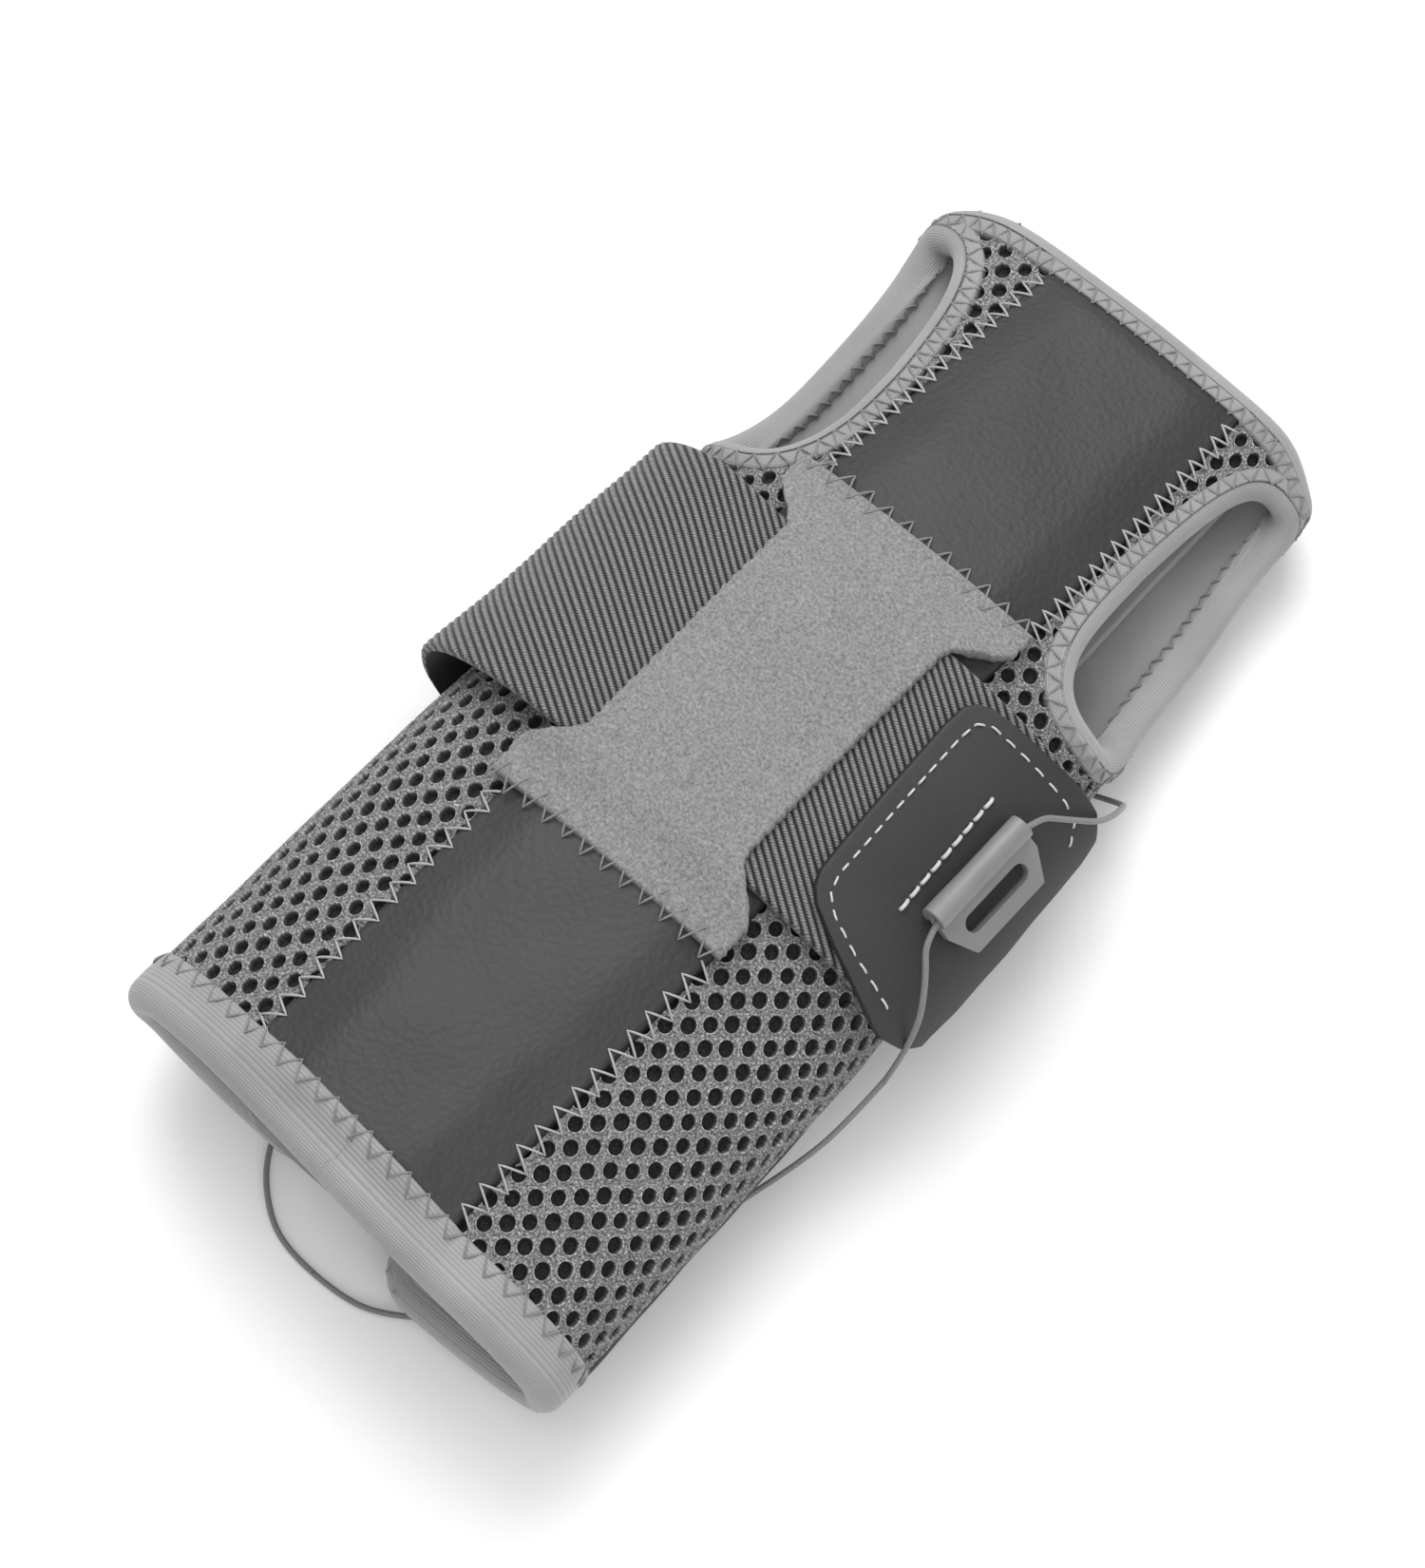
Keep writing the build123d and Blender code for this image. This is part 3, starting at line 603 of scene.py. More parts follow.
def zigzag_parts(path, pitch, low, high, low_height, high_height, inward, closed=False, radius=0.2, arch=0.35,
                 lifted=True):
    """Zigzag sewing along a path: needle points alternate between two distances from it."""
    fine = even_path(path, pitch / 2, closed)
    ahead = np.roll(fine, -1, 0) - np.roll(fine, 1, 0) if closed else np.gradient(fine, axis=0)
    ahead /= np.linalg.norm(ahead, axis=1)[:, None]
    into = np.stack([-ahead[:, 1], ahead[:, 0]], 1) * inward
    near = np.arange(len(fine)) % 2 == 0
    jitter = rng.normal(0, 0.12, len(fine))
    depth = np.where(near, low, high) + jitter
    height = np.where(near, low_height, high_height)
    needle = fine + into * depth[:, None]
    steps = 5
    line, h = [], []
    ends = len(fine) if closed else len(fine) - 1
    for k in range(ends):
        nxt = (k + 1) % len(fine)
        for t in np.arange(steps) / steps:
            line.append(needle[k] * (1 - t) + needle[nxt] * t)
            h.append(height[k] * (1 - t) + height[nxt] * t + arch * sin(pi * t) ** 0.6 - 0.1)
    line, h = np.array(line), np.array(h)
    if lifted:
        h += over_cover(line[:, 0], line[:, 1])
    return tube_parts(wrap(line[:, 0], line[:, 1], h), radius, 6, closed)


def dashes_parts(path, dash, gap, height, radius):
    """A straight topstitch: separate short threads, each dipping into its needle holes."""
    step = 0.35
    fine = even_path(path, step)
    run = np.arange(len(fine)) * step
    parts = []
    for start in np.arange(0, run[-1] - dash, dash + gap):
        at = np.linspace(start, start + dash, 7)
        s, y = np.interp(at, run, fine[:, 0]), np.interp(at, run, fine[:, 1])
        h = height + radius * 0.9 - 0.5 * np.abs(np.linspace(-1, 1, 7)) ** 4
        parts.append(tube_parts(wrap(s, y, h), radius, 6))
    return join_parts(parts)


def set_painted_shade(piece, values):
    """Each point's painted light and shade within the fabric's ribs, light on their tops and dark in the
    grooves and holes, which the materials read as colour.
    """
    data = piece.data.attributes.new("painted_rib_shade", "FLOAT", "POINT")
    data.data.foreach_set("value", values.astype(np.float32))


def pad(name, y, left, right, columns, surface, bottom, materials, edge=0.6, attribute=None, place=None):
    """A closed flat piece on the sleeve: each row of Y runs from left to right along the section.
    surface(s, y) is its upper height, and bottom its lower one."""
    place = place or wrap
    rows_n = len(y)
    t = np.linspace(0, 1, columns)
    s = left[:, None] * (1 - t) + right[:, None] * t
    yy = np.repeat(y[:, None], columns, 1)
    depth = np.minimum(np.abs(s - left[:, None]), np.abs(right[:, None] - s))
    depth = np.minimum(depth, np.minimum(yy - y[0], y[-1] - yy))
    rounded = np.sqrt(np.clip(1 - (1 - np.clip(depth / edge, 0, 1)) ** 2, 0, 1))
    upper = surface(s, yy)
    low = np.full_like(s, bottom) if np.isscalar(bottom) else bottom(s, yy)
    height = low + (upper - low) * rounded
    top_points = place(s, yy, height)
    under = place(s, yy, low)
    inner = np.ones((rows_n, columns), bool)
    inner[0] = inner[-1] = False
    inner[:, 0] = inner[:, -1] = False
    index = np.arange(rows_n * columns).reshape(rows_n, columns)
    low_index = index.copy()
    low_index[inner] = rows_n * columns + np.arange(inner.sum())
    points = np.concatenate([top_points, under[inner.ravel()]])
    uv_top = np.stack([s.ravel(), yy.ravel()], 1)
    uv = np.concatenate([uv_top, uv_top[inner.ravel()]])

    def quads(table):
        return np.stack([table[:-1, :-1], table[:-1, 1:], table[1:, 1:], table[1:, :-1]], -1).reshape(-1, 4)
    up, down = quads(index), quads(low_index)
    if np.mean(right - left) > 0:
        down = down[:, ::-1]
    else:
        up = up[:, ::-1]
    piece = new_mesh(name, points, np.concatenate([up, down]).tolist(), materials, uv)
    if attribute is not None:
        values = attribute(s, yy).ravel()
        set_painted_shade(piece, np.concatenate([values, np.full(inner.sum(), 0.3)]))
    return piece


def ride_side(piece, side, slot, *replaced):
    """A soft piece that crosses the side fold, left where it was built; the CAD parts it replaces are hidden.
    """
    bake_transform(piece)
    finish_piece(piece, slot, *replaced)


def ride_body(piece, body, slot, *replaced):
    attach(piece, body)
    finish_piece(piece, slot, *replaced)


def finish_piece(piece, slot, *replaced):
    if replaced:
        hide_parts(*replaced)


def sew(name, parts, thread, body, slot):
    ride_body(thread_piece(name, parts, thread), body, slot)


SIDES = ((1, "right"), (-1, "left"))

# ---- shell: dark core and lining, a thick sheet with its openings ----
COVER_EDGES_Y = np.array([-91.2, 40.0, 92.0])
COVER_LEFT = np.array([run_to(-23.0, -91.2), run_to(-22.4, 40.0), run_to(-19.0, 92.0)])
COVER_RIGHT = np.array([run_to(21.2, -91.2), run_to(21.8, 40.0), run_to(20.4, 92.0)])


def cover_edge(side, y):
    return np.interp(y, COVER_EDGES_Y, COVER_RIGHT if side > 0 else COVER_LEFT)


CORE_DEPTH = 1.7
COVER_LOW, COVER_HIGH = -95.5, 98.5


def cover_depths(s, y):
    """Distances in from the cover's nearer side edge and from its nearer end."""
    return np.minimum(s - cover_edge(-1, y), cover_edge(1, y) - s), np.minimum(y - COVER_LOW, COVER_HIGH - y)


def cover_surface(s, y):
    """Highest over the stay and its forearm tip, thin at the side seams and under the tapes."""
    side_depth, end_depth = cover_depths(s, y)
    tip = 0.8 * smooth((-y - 60) / 14) * smooth((side_depth - 6) / 7)
    dome = (1.85 + tip) * smooth((side_depth + 1.5) / 12) * smooth((end_depth - 0.5) / 5)
    return 0.4 + 0.6 * smooth(end_depth / 4) + dome + 0.03 * np.sin(0.31 * y + 0.4 * s)


def over_cover(s, y):
    """How far the stay cover lifts a tape or a seam that lies over it."""
    side_depth, end_depth = cover_depths(s, y)
    return cover_surface(s, y) * smooth((side_depth + 1.2) / 1.8) * smooth(end_depth / 0.8)


def slab(name, side):
    """The core and lining of one half-shell."""
    columns, rows_n = 62, 110
    y = np.linspace(-HALF_LENGTH + 0.8, HALF_LENGTH - 0.8, rows_n)
    q = np.linspace(0, 1, columns)
    s = side * q[None, :] * (total(y) - FLAP_EDGE - 1)[:, None]
    yy = np.repeat(y[:, None], columns, 1)
    middle_s = ((s[:-1, :-1] + s[1:, 1:]) / 2).ravel()
    middle_y = ((yy[:-1, :-1] + yy[1:, 1:]) / 2).ravel()
    keep = ~in_polygon(thumb_path(side, 1.5), middle_s, middle_y)
    keep &= middle_y < hand_end(middle_s) - 1.5
    keep &= middle_y > forearm_end(middle_s, side) + 1.5
    edge_s = total(middle_y) - FLAP_EDGE
    for start_y, sign in ((-HALF_LENGTH + (LEFT_SETBACK if side < 0 else 0), 1), (HALF_LENGTH - 1, -1)):
        du = np.maximum(np.abs(middle_s) - (edge_s - FLAP_CORNER), 0)
        dv = np.maximum(FLAP_CORNER - sign * (middle_y - start_y), 0)
        keep &= (np.hypot(du, dv) < FLAP_CORNER - 1) | (du == 0) | (dv == 0)
    keep = keep.reshape(rows_n - 1, columns - 1)
    outer = wrap(s, yy, -CORE_DEPTH)
    inner = wrap(s, yy, -WALL)
    n = rows_n * columns
    index = np.arange(n).reshape(rows_n, columns)
    faces, slots = [], []
    corners = np.stack([index[:-1, :-1], index[:-1, 1:], index[1:, 1:], index[1:, :-1]], -1)
    for i, j in zip(*np.nonzero(keep)):
        a, b, c, d = corners[i, j].tolist()
        ring = [a, b, c, d] if side > 0 else [d, c, b, a]
        faces.append(ring)
        slots.append(0)
        faces.append([v + n for v in ring[::-1]])
        slots.append(1)
        for di, dj, e0, e1 in ((-1, 0, a, b), (0, 1, b, c), (1, 0, c, d), (0, -1, d, a)):
            ii, jj = i + di, j + dj
            if not (0 <= ii < keep.shape[0] and 0 <= jj < keep.shape[1]) or not keep[ii, jj]:
                faces.append([e0, e0 + n, e1 + n, e1] if side > 0 else [e1, e1 + n, e0 + n, e0])
                slots.append(1)
    uv = np.stack([s.ravel(), yy.ravel()], 1)
    points, uvs = np.concatenate([outer, inner]), np.concatenate([uv, uv])
    return new_mesh(name, points, faces, [CORE, LINING], uvs, slots)


# ---- the open knit over the core: one ring of yarn round each hole ----
HOLE_STEP = np.array([2.5, 2.52])
ROW_STEP = np.array([1.97, -3.35])
HOLE_RADIUS = 1.36


def knit(name, side):
    u = np.arange(-90, 90)
    grid_u, grid_v = np.meshgrid(u, u)
    centre = grid_u.ravel()[:, None] * HOLE_STEP + grid_v.ravel()[:, None] * ROW_STEP
    s, y = centre[:, 0], centre[:, 1]
    keep = (s * side > 0) & (np.abs(y) < HALF_LENGTH - 3)
    s, y = s[keep], y[keep]
    edge_s = total(y) - FLAP_EDGE
    ok = (np.abs(s) < edge_s - 2.5) & (y < hand_end(s) - 3) & (y > forearm_end(s, side) + 6)
    ok &= ~in_polygon(thumb_path(side, 3.2), s, y)
    ok &= (np.abs(s) > np.abs(cover_edge(side, y)) - 2.6)
    under_facing = (np.abs(s) > fold_at(y) + 9) & (np.abs(s) < edge_s - 8) & (y < 28)
    ok &= ~(under_facing & (y > forearm_end(s, side) + 12))
    s, y = s[ok], y[ok]
    corners = np.array([(-0.5, -0.5), (0.5, -0.5), (0.5, 0.5), (-0.5, 0.5)])
    border = np.concatenate([corners[k] + (corners[(k + 1) % 4] - corners[k]) * np.arange(5)[:, None] / 5
                             for k in range(4)])
    border = border[:, :1] * HOLE_STEP + border[:, 1:] * ROW_STEP
    angle = np.arctan2(border[:, 1], border[:, 0])
    oval = 1 + 0.07 * np.cos(2 * (angle - 1.9))
    unit = np.stack([np.cos(angle), np.sin(angle)], 1) * oval[:, None]
    # the third number of each ring is its painted light and shade: darkest deep in the hole, lightest on the
    # rims' tops
    rings = [(border, -0.12, 0.35), (border * 0.5 + unit * (HOLE_RADIUS + 0.4) * 0.5, 0.02, 0.75),
             (unit * (HOLE_RADIUS + 0.27), -0.1, 0.4), (unit * (HOLE_RADIUS + 0.12), 0.16, 1.0),
             (unit * (HOLE_RADIUS - 0.02), 0.0, 0.8), (unit * (HOLE_RADIUS - 0.07), -0.45, 0.25),
             (unit * (HOLE_RADIUS + 0.1), -1.8, 0.05)]
    count = len(border)
    sizes = rng.uniform(0.93, 1.05, len(s))
    shift = rng.normal(0, 0.06, (len(s), 2))
    points, shade = [], []
    for number, (offset, height, light) in enumerate(rings):
        scale = sizes[:, None] if number > 1 else np.ones((len(s), 1))
        move = shift if number > 1 else np.zeros((len(s), 2))
        ps = s[:, None] + offset[None, :, 0] * scale + move[:, :1]
        py = y[:, None] + offset[None, :, 1] * scale + move[:, 1:]
        points.append(np.stack([ps, py, np.full_like(ps, height)], -1))
        shade.append(np.full(ps.shape, light))
    points = np.stack(points, 1).reshape(-1, 3)
    shade = np.stack(shade, 1).reshape(-1)
    place = wrap(points[:, 0], points[:, 1], points[:, 2])
    per = count * len(rings)
    ring_faces = np.array([[r * count + k, r * count + (k + 1) % count, (r + 1) * count + (k + 1) % count,
                            (r + 1) * count + k] for r in range(len(rings) - 1) for k in range(count)])
    faces = (ring_faces[None] + (np.arange(len(s)) * per)[:, None, None]).reshape(-1, 4)
    keys = np.round(place / 0.01).astype(np.int64)
    first, inverse = np.unique(keys, axis=0, return_index=True, return_inverse=True)[1:]
    faces = inverse.ravel()[faces]
    if side > 0:
        faces = faces[:, ::-1]
    piece = new_mesh(name, place[first], faces[:, ::-1].tolist(), [YARN], points[first][:, :2])
    set_painted_shade(piece, shade[first])
    return piece


for side, hand in SIDES:
    ride_side(slab(f"shell_{hand}", side), side, "lining_fabric",
              *((f"flap_lining_{hand}", "volar_lining") if side > 0 else (f"flap_lining_{hand}",)))
    ride_side(knit(f"spacer_mesh_{hand}", side), side, "spacer_mesh",
              *((f"flap_mesh_{hand}", "volar_mesh") if side > 0 else (f"flap_mesh_{hand}",)))

# ---- edge tapes and their sewing: two distances from the edge, and the height at each ----
FOREARM_SEW = (7.2, 10.4, 0.95, 0.15)
TAPE_SEW = (2.9, 5.9, 1.0, 0.15)
INSIDE_SEW = (2.9, 5.9, -WALL - 1.1, -WALL - 0.3)

for side, hand in SIDES:
    path = perimeter_path(side)
    run_y = path[:, 1]
    on_forearm = smooth((-run_y - HALF_LENGTH + 16) / 8)
    widths = FLAP_TAPE + (FOREARM_TAPE - FLAP_TAPE) * on_forearm
    replaced = [f"flap_tape_{hand}"] + (["forearm_tape_volar", "hand_tape_volar"] if side > 0 else [])
    tape = edge_band(f"edge_tape_{hand}", path, widths, False, side, pucker=0.3)
    ride_side(tape, side, "edge_tape", *replaced)
    first = path[run_y < -HALF_LENGTH + 9]
    rest = path[run_y >= -HALF_LENGTH + 9]
    sewing = join_parts([zigzag_parts(first, 4.2, *FOREARM_SEW, side),
                         zigzag_parts(rest, 3.0, *TAPE_SEW, side)])
    ride_side(thread_piece(f"tape_stitch_{hand}", sewing, TAPE_THREAD), side, "edge_tape")

    loop = even_path(thumb_path(side), 0.9, True)
    ring = edge_band(f"thumb_tape_{hand}", loop, THUMB_TAPE, True, -side, pucker=0.45, pitch=2.8)
    ride_side(ring, side, "edge_tape", f"thumb_tape_{hand}_volar", f"thumb_tape_{hand}_flap")
    sewing = join_parts([
        zigzag_parts(thumb_path(side), 2.8, *TAPE_SEW, -side, closed=True),
        zigzag_parts(thumb_path(side), 2.8, *INSIDE_SEW, -side, closed=True, arch=-0.3, lifted=False)])
    ride_side(thread_piece(f"thumb_stitch_{hand}", sewing, TAPE_THREAD), side, "edge_tape")


def corner_cut(y, low, high, radius):
    """How far a rounded corner draws an edge in, at each Y."""
    near = np.maximum(np.maximum(low + radius - y, y - high + radius), 0)
    return radius - np.sqrt(np.maximum(radius ** 2 - np.minimum(near, radius) ** 2, 0))


# ---- stay cover, with its zigzag side seams ----
rows_y = np.linspace(COVER_LOW, COVER_HIGH, 230)
cover = pad("stay_cover_leather", rows_y, cover_edge(-1, rows_y), cover_edge(1, rows_y), 60, cover_surface,
            -0.05, [COVER], edge=0.8)
ride_body(cover, "volar_shell", "synthetic_leather", "stay_cover")

for side, hand in SIDES:
    for name, low, high, pitch, reach in (("lower", -90.5, -34.5, 4.1, 2.0), ("upper", 42.0, 94.5, 2.9, 1.8)):
        y = np.linspace(low, high, 120)
        line = np.stack([cover_edge(side, y), y], 1)
        seam = zigzag_parts(line, pitch, -reach, reach, 0.2, 1.6, side, radius=0.21, lifted=False)
        sew(f"cover_stitch_{hand}_{name}", seam, THREAD, "volar_shell", "synthetic_leather")


# ---- the elastic strap: a twill of rounded ribs ----
RIB_PITCH = 1.2
RIB_ALONG = (0.838, -0.545)
STRAP_LIFT = 2.2
STRAP_TOP, STRAP_UNDER = 4.45, 3.0
STRAP_LOW, STRAP_HIGH = -21.6, 29.4


def rib_height(s, y):
    across = (0.545 * s + 0.838 * y) / RIB_PITCH
    row = np.floor(across)
    strand = (RIB_ALONG[0] * s + RIB_ALONG[1] * y) / 0.62 + 0.5 * (row % 2)
    ridge_and_shade = np.clip(0.5 + 0.5 * np.cos(2 * pi * (across - row - 0.5)), 0, 1) ** 0.8
    return ridge_and_shade * (0.9 + 0.1 * np.cos(2 * pi * strand))


def selvedge(y, low, high):
    return smooth((y - low) / 1.1) * smooth((high - y) / 1.1)


def strap_surface(s, y):
    return STRAP_TOP + 0.42 * (rib_height(s, y) - 0.5) * selvedge(y, STRAP_LOW, STRAP_HIGH)


def strap_shade(s, y):
    return 0.12 + 0.88 * rib_height(s, y)


def left_strap_place(s, y, h):
    """The strap's left part stands off the mesh as it goes round the fold, a little wider there."""
    s, y, h = np.broadcast_arrays(s, y, h)
    out = smooth((-s - 15) / 20)
    fold = fold_at(y)
    back = smooth((-s - fold - 6) / 12)
    lift = STRAP_LIFT * out * (1 - 0.85 * back) + 1.3 * out * (1 - back) * smooth((4 - y) / 26)
    widen = 1.9 * out * (y - STRAP_LOW) / (STRAP_HIGH - STRAP_LOW)
    return wrap(s, y + widen - 0.3 * out, h + lift)


rows_y = np.linspace(STRAP_LOW, STRAP_HIGH, 200)
left_far = runs_to(-32.0, (-21.5, 4.0, 29.5), rows_y, lower=True)
strap = pad("strap_left", rows_y, left_far, np.full_like(rows_y, 9.0), 330, strap_surface, STRAP_UNDER,
            [STRAP], edge=0.7, attribute=strap_shade, place=left_strap_place)
ride_side(strap, -1, "elastic_strap", "strap_palm", "strap_flap_end")

right_far = runs_to(42.0, (-19.5, 4.0, 27.0), rows_y)
strap = pad("strap_right", rows_y, np.full_like(rows_y, 9.4), right_far, 190, strap_surface, STRAP_UNDER,
            [STRAP], edge=0.7, attribute=strap_shade)
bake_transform(strap)
finish_piece(strap, "elastic_strap", "strap_tab_end")

# ---- felt patch over the strap, wider where it is sewn down ----
FELT_LOW, FELT_HIGH = -33.4, 41.3
STAY_BULGE = 11.0


def felt_edges(y):
    """Left and right edges of the patch, as distances along the section."""
    over_strap = smooth((y + 27.5) / 9.5) * smooth((36.5 - y) / 9.0)
    fray = 0.12 * np.sin(y * 2.3) + 0.1 * np.sin(y * 5.1 + 1)
    half = 23.6 - 7.6 * over_strap
    return -1.5 - half + fray, -1.2 + half + fray


def felt_surface(s, y):
    over = smooth((y + 30.0) / 8.5) * smooth((38.0 - y) / 8.5)
    fuzz = 0.11 * np.sin(s * 3.1 + 2 * np.sin(y * 1.7)) * np.sin(y * 2.9 + 2 * np.sin(s * 1.3))
    bulge = 0.7 * smooth((STAY_BULGE - np.abs(s)) / 7.0)
    return 3.9 + 2.3 * over + 0.3 * bulge + fuzz


rows_y = np.linspace(FELT_LOW, FELT_HIGH, 260)
felt_left, felt_right = felt_edges(rows_y)
felt = pad("loop_felt_patch", rows_y, felt_left, felt_right, 150, felt_surface,
           lambda s, y: 2.6 + 2.15 * smooth((y + 24.0) / 2.6) * smooth((32.0 - y) / 2.6), [FELT], edge=0.8)
ride_body(felt, "volar_shell", "loop_felt", "loop_patch")

for name, y, inward in (("forearm", FELT_LOW, 1), ("hand", FELT_HIGH, -1)):
    edges = felt_edges(np.array([y]))
    s = np.linspace(edges[0][0] + 0.6, edges[1][0] - 0.6, 60)
    line = np.stack([s, np.full_like(s, y)], 1)
    seam = zigzag_parts(line, 4.0, -1.8, 2.6, 2.95, 4.1, inward, lifted=False)
    sew(f"felt_stitch_{name}", seam, TAPE_THREAD, "volar_shell", "loop_felt")

# ---- pull tab with its topstitching ----
# Its inner edge as (y, x), its outer edge as (y, height), and its seams as (x, y).
TAB_INNER = ((-23.8, 46.8), (-22.5, 42.2), (-19.6, 34.0), (-16.9, 28.2), (-15.0, 26.2), (-12.5, 25.1),
             (-8.5, 24.8), (5.0, 24.0), (18.9, 23.3), (23.2, 23.5), (25.2, 24.7), (26.3, 27.0), (26.9, 31.0),
             (27.4, 37.3), (28.6, 46.0))
TAB_OUTER = ((-23.8, 28.0), (-22.0, 24.5), (-18.0, 20.8), (-10.0, 19.5), (22.0, 19.5), (26.0, 20.6),
             (28.6, 24.5))
TAB_STITCH = ((46.1, -20.2), (38.0, -18.6), (31.6, -16.4), (28.8, -14.2), (27.8, -11.1), (27.2, 4.0),
              (26.6, 19.0), (26.9, 22.4), (28.8, 24.0), (36.0, 24.4), (43.8, 24.6), (46.6, 23.8),
              (48.4, 20.6))
HEAVY_STITCH = ((36.3, 15.6), (37.8, -8.2))
TAB_TOP, TAB_UNDER = 7.0, 5.5


def tab_edges(y):
    """The tab's inner edge along Y, and its outer edge, low over the side fold."""
    inner = np.interp(y, *zip(*TAB_INNER))
    height = np.interp(y, *zip(*TAB_OUTER))
    s_inner = np.array([run_to(x, v, height=TAB_TOP) for x, v in zip(inner, y)])
    return s_inner, fold_at(y) - (height - fold_height(y))


def tab_surface(s, y):
    return TAB_TOP - 0.1 + 0.12 * np.sin(0.13 * s + 0.1 * y) + 0.05 * np.sin(0.5 * y)


tab_rows = ((-23.8, -12.0, 50), (-11.6, 22.0, 50), (22.2, 28.6, 34))
rows_y = np.concatenate([np.linspace(*part) for part in tab_rows])
tab_left, tab_right = tab_edges(rows_y)
tab = pad("pull_tab_leather", rows_y, tab_left, np.maximum(tab_right, tab_left + 1), 90, tab_surface,
          TAB_UNDER, [TAB], edge=0.5)
ride_body(tab, "lace_tab", "tab_leather", "pull_tab")


def on_tab(points):
    return np.array([(run_to(x, y, height=TAB_TOP), y) for x, y in points])


dashes = dashes_parts(on_tab(TAB_STITCH), 1.7, 1.0, TAB_TOP - 0.05, 0.2)
heavy = dashes_parts(on_tab(HEAVY_STITCH), 2.0, 0.7, TAB_TOP + 0.05, 0.34)
sewing = join_parts([dashes, heavy])
sew("tab_topstitch", sewing, TAB_THREAD, "lace_tab", "tab_leather")

# ---- dark facings on the dorsal flaps ----
FACING_HIGH, FACING_X, FACING_CORNER = 32.0, 15.2, 9.0
FACING_TOP = 1.35
for side, hand in SIDES:
    start = -HALF_LENGTH + FOREARM_TAPE - 2 + (LEFT_SETBACK if side < 0 else 0)
    rows_y = np.linspace(start, FACING_HIGH, 130)
    upper_edge = fold_at(rows_y) + 4.6
    lower_edge = np.array([abs(run_to(FACING_X, v, lower=True)) for v in rows_y])
    lower_edge -= corner_cut(rows_y, start, FACING_HIGH, FACING_CORNER)
    facing = pad(f"facing_leather_{hand}", rows_y, side * upper_edge, side * lower_edge, 40,
                 lambda s, y: FACING_TOP + 0.08 * np.sin(0.4 * y + 0.2 * s), 0.05, [FACING], edge=0.6)
    ride_body(facing, f"flap_{hand}", "synthetic_leather", f"facing_{hand}")
    line = np.stack([side * (upper_edge[4:-4] + 2.2), rows_y[4:-4]], 1)
    seam = dashes_parts(line, 2.4, 0.9, FACING_TOP, 0.2)
    sew(f"facing_stitch_{hand}", seam, THREAD, f"flap_{hand}", "synthetic_leather")

# ---- tongue between the arm and the laces, sewn in at the left fold ----
TONGUE_END, TONGUE_X, TONGUE_CORNER = 96.0, 27.5, 8.0
TONGUE_TOP, TONGUE_UNDER = -5.75, -8.1
rows_y = np.linspace(-TONGUE_END, TONGUE_END, 160)
seam_share = smooth((rows_y + 84) / 9) * smooth((30 - rows_y) / 9)
edge_left = np.array([run_to(-TONGUE_X, v, lower=True) for v in rows_y])
seam_left = -(fold_at(rows_y) - 4.6)
tongue_left = edge_left + (seam_left - edge_left) * seam_share
tongue_right = np.array([run_to(TONGUE_X, v, lower=True) for v in rows_y])
draw_in = corner_cut(rows_y, -TONGUE_END, TONGUE_END, TONGUE_CORNER)


def tongue_place(q, y, h):
    """q runs from the left edge (0), under the middle, to the right edge (1)."""
    q, y, h = np.broadcast_arrays(q, y, h)
    left = np.interp(y, rows_y, np.abs(tongue_left))
    right = np.interp(y, rows_y, np.abs(tongue_right))
    length = total(y)
    run = q * ((length - left) + (length - right))
    on_left = run < length - left
    s = np.where(on_left, -(left + run), length * 2 - left - run)
    return wrap(np.where(on_left, s, np.abs(s)), y, h)


tongue_draw = draw_in / 60
tongue = pad("tongue_padding", rows_y, tongue_draw, 1 - tongue_draw, 90,
             lambda q, y: np.full_like(q, TONGUE_TOP) + 0.1 * np.sin(q * 30 + y * 0.2), TONGUE_UNDER,
             [LINING], edge=0.012, place=tongue_place)
ride_body(tongue, "volar_shell", "lining_fabric", "tongue")

# ---- the lace: one cord, in the stretches that its guides hold ----
CORD_HEIGHT, CORD_RADIUS = 1.9, 0.5
TAB_ROUTE = [(50.6, -25.8, 20.6), (51.4, -19.6, 29.4), (48.0, -13.4, 35.0), (42.8, -8.0, 39.39),
             (42.8, 17.2, 39.39), (46.8, 22.6, 34.0), (50.0, 28.0, 27.8), (48.6, 33.4, 20.4)]
UPPER_LEAD = [(48.6, 33.4, 20.4), (47.8, 35.4, 16.2), (46.8, 37.2, 12.0), (39.6, 36.4, 6.4),
              (29.0, 33.6, 3.2), (17.0, 31.0, 2.2), (0, 28.2, 1.9)]
LOWER_LEAD = [(0, -105.4, 1.3), (5.0, -105.4, 1.3), (12, -103.8, 1.5), (21, -97.4, 2.2), (30, -86, 3.6),
              (38, -71, 6.2), (44, -55.6, 9.4), (48.6, -41, 13.4), (49.9, -33, 16.6), (50.6, -25.8, 20.6)]
FOREARM_BEND = [(-22, -88, 1.9), (-18.6, -97, 1.7), (-11.4, -103.4, 1.4), (-5.0, -105.4, 1.3),
                (0, -105.4, 1.3)]
GUIDE_ROWS = ((-1, 22, 28.2, 13.0), (1, 4, 13.0, -5.0), (-1, -14, -5.0, -23.0), (1, -32, -23.0, -41.0),
              (-1, -50, -41.0, -58.5), (1, -67, -58.5, -75.5), (-1, -84, -75.5, None))


def guide_route(side, y, before, after):
    """The lace through one guide: in at its mouth, round its end and out again."""
    route = [(0, before, CORD_HEIGHT), (side * 13, y + 4, CORD_HEIGHT), (side * 22, y + 4, CORD_HEIGHT),
             (side * 22, y - 4, CORD_HEIGHT), (side * 13, y - 4, CORD_HEIGHT)]
    if after is not None:
        route.append((0, after, CORD_HEIGHT))
    return route


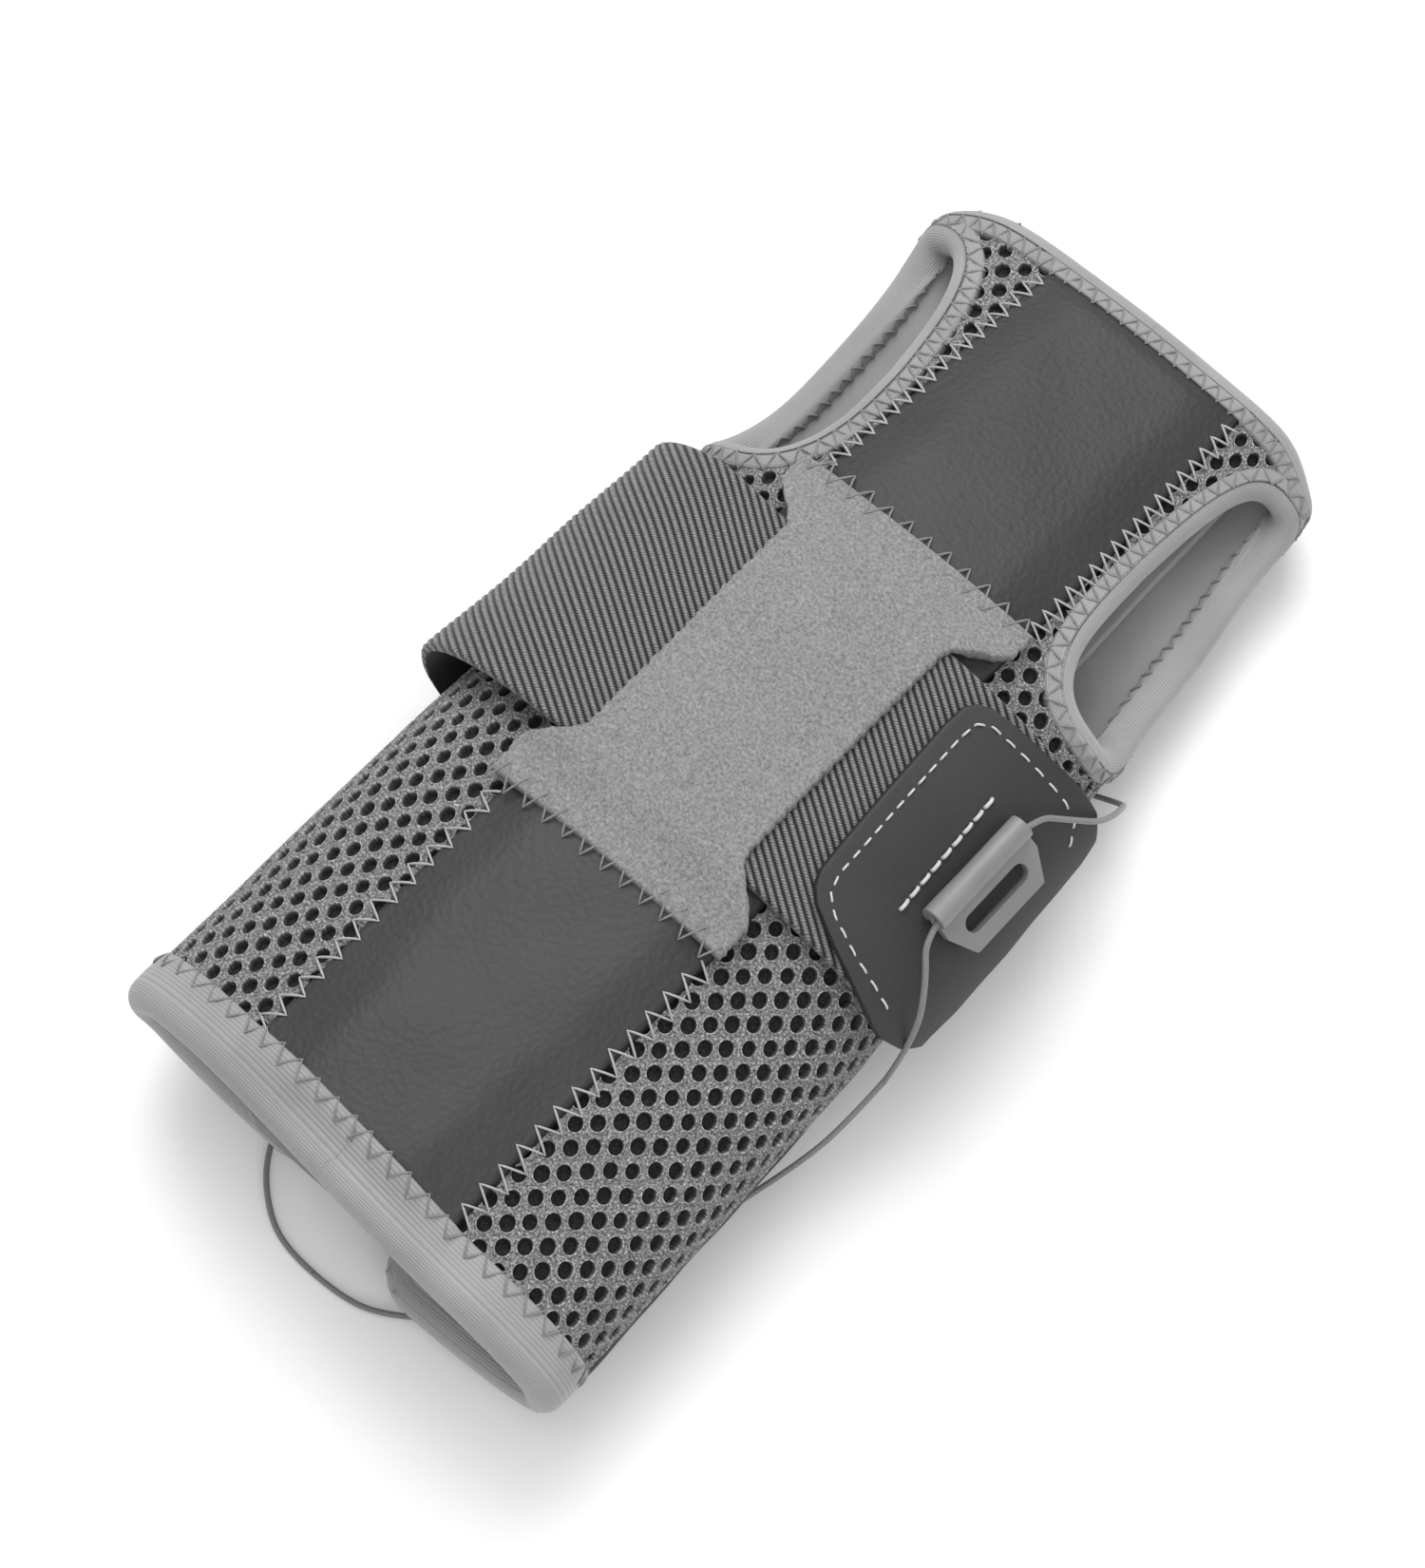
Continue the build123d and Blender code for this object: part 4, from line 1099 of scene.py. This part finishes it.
def spline_points(route):
    """The line that a smooth curve through the route's neighbourhood follows."""
    curve = bpy.data.curves.new("route", "CURVE")
    curve.dimensions = "3D"
    spline = curve.splines.new("NURBS")
    spline.points.add(len(route) - 1)
    for point, place in zip(spline.points, route):
        point.co = (place[0] * MM, place[1] * MM, place[2] * MM, 1)
    spline.order_u = 3
    spline.use_endpoint_u = True
    spline.resolution_u = 12
    holder = add_object("route", curve)
    bpy.context.view_layer.update()
    mesh = bpy.data.meshes.new_from_object(holder)
    line = np.array([v.co for v in mesh.vertices]) / MM
    bpy.data.objects.remove(holder)
    bpy.data.meshes.remove(mesh)
    return line


def lace_piece(name, line, lay, bodies, start, end, *replaced, carries=(), declared=True):
    """One stretch of the lace, a round cord along its line; the CAD parts it replaces are hidden."""
    piece = thread_piece(name, tube_parts(line, CORD_RADIUS, 10), CORD)
    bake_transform(piece)
    finish_piece(piece, "lace_cord", *replaced)
    return piece


def before_and_after(line, axis, value):
    """Cuts a line where its coordinate first passes a value; both parts share the cut."""
    past = line[:, axis] < value if line[0, axis] > value else line[:, axis] > value
    cut = int(np.argmax(past))
    return line[:cut + 1], line[cut:]


FOLD_PART = (("volar_shell", "flap_right"), (0, 0, 0.0165), (0, 0, 0.007))
INNER_PART = (("flap_right", "volar_shell"), (0.013, 0, 0), (0.0002, 0, 0))
lace_piece("lace_on_tab", spline_points(TAB_ROUTE), "taut", ("lace_tab", "volar_shell"), (0, 0, 0.0385),
           (0, 0, 0.0208), "lace_at_tab")
round_fold, inner_run = before_and_after(spline_points(UPPER_LEAD), 0, 34.0)
stub = lace_piece("lace_upper_fold", round_fold, "loose", *FOLD_PART, declared=False)
lace_piece("lace_upper_run", inner_run, "taut", *INNER_PART, "lace_upper_lead", carries=[stub])
inner_run, round_fold = before_and_after(spline_points(LOWER_LEAD), 0, 30.0)
lace_piece("lace_lower_run", inner_run, "loose", *INNER_PART, "lace_lower_lead")
lace_piece("lace_lower_fold", round_fold, "loose", *FOLD_PART)
counts = {1: 0, -1: 0}
hands = dict(SIDES)
for side, y, before, after in GUIDE_ROWS:
    route = guide_route(side, y, before, after)
    if after is None:
        route += FOREARM_BEND
    counts[side] += 1
    name = f"lace_{hands[side]}_{counts[side]}"
    lace_piece(f"{name}_run", spline_points(route), "taut", (f"flap_{hands[side]}", "volar_shell"),
               (side * 0.0128, 0, 0), (side * 0.0002, 0, 0), name)

# ---- moulded lace guides, with the sharp edges of the CAD softened ----
def softened(name, node_name, width, body):
    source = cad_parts[node_name]
    mesh = source.data.copy()
    mesh.transform(source.matrix_world)
    mesh.materials.clear()
    mesh.materials.append(PLASTIC)
    piece = add_object(name, mesh)
    weld = piece.modifiers.new("weld", "WELD")
    weld.merge_threshold = 0.00001
    bevel = piece.modifiers.new("bevel", "BEVEL")
    bevel.width = width * MM
    bevel.segments = 3
    bevel.limit_method = "ANGLE"
    bevel.angle_limit = radians(38)
    bevel.use_clamp_overlap = True
    bpy.context.view_layer.update()
    final = bpy.data.meshes.new_from_object(piece.evaluated_get(bpy.context.evaluated_depsgraph_get()))
    final.polygons.foreach_set("use_smooth", np.full(len(final.polygons), True))
    piece.modifiers.clear()
    piece.data = final
    ride_body(piece, body, "guide_plastic", node_name)


softened("tab_guide_moulding", "tab_lace_guide", 0.45, "lace_tab")
for side, hand in SIDES:
    for number in range(1, 4 if side > 0 else 5):
        softened(f"lace_loop_{hand}_{number}", f"lace_guide_{hand}_{number}", 0.4, f"flap_{hand}")

for node_name, made in (("palm_stay", METAL), ("stay_tip_forearm", PLASTIC), ("stay_tip_hand", PLASTIC),
                        ("tab_hook", HOOKS), ("strap_hook", HOOKS)):
    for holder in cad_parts[node_name].material_slots:
        holder.material = made


# ---- camera, light and floor ----
def camera_and_light():
    """The camera at the photograph's viewing angle, a pale floor and soft studio lights."""
    azimuth, elevation, roll, distance = radians(44.0), radians(69.0), radians(-2.16), 0.9
    aim = Vector((-3.14, -6.54, 20.0)) * MM
    back = Vector((sin(azimuth) * cos(elevation), -cos(azimuth) * cos(elevation), sin(elevation)))
    right = Vector((cos(azimuth), sin(azimuth), 0))
    up = back.cross(right)
    right_rolled = right * cos(roll) + up * sin(roll)
    up_rolled = up * cos(roll) - right * sin(roll)
    data = bpy.data.cameras.new("camera")
    data.sensor_width = 36
    data.lens = 5904 * 36 / 1650
    data.clip_end = 10
    camera = add_object("camera", data)
    matrix = camera.matrix_world.copy()
    for column, axis in enumerate((right_rolled, up_rolled, back)):
        for row in range(3):
            matrix[row][column] = axis[row]
    matrix.translation = aim + back * distance
    camera.matrix_world = matrix
    bpy.context.scene.camera = camera

    floor_points = np.array([(-1500, -1500, 0), (1500, -1500, 0), (1500, 1500, 0), (-1500, 1500, 0)], float)
    floor = new_mesh("floor", floor_points, [[0, 1, 2, 3]], [FLOOR])
    for name, place, size, power in (("key", (-0.5, 0.55, 1.1), 0.9, 13), ("fill", (0.8, -0.5, 0.9), 1.0, 5),
                                     ("top", (0.0, 0.0, 1.6), 1.2, 7)):
        light = bpy.data.lights.new(name, "AREA")
        light.energy = power
        light.size = size
        lamp = add_object(name, light)
        lamp.location = place
        lamp.rotation_euler = (-Vector(place)).to_track_quat("-Z", "Y").to_euler()
    world = bpy.data.worlds.new("studio")
    world.use_nodes = True
    world.node_tree.nodes["Background"].inputs["Color"].default_value = (1, 1, 1, 1)
    world.node_tree.nodes["Background"].inputs["Strength"].default_value = 0.5
    bpy.context.scene.world = world
    bpy.context.scene.view_settings.view_transform = "Standard"


FLOOR = material("floor_paper", (0.9, 0.9, 0.9), roughness=0.9)
colour(FLOOR, ramp(FLOOR, noise(FLOOR, coordinates(FLOOR), 30, 2.0, 0.5), [(0.3, 0.89), (0.7, 0.91)]))
camera_and_light()
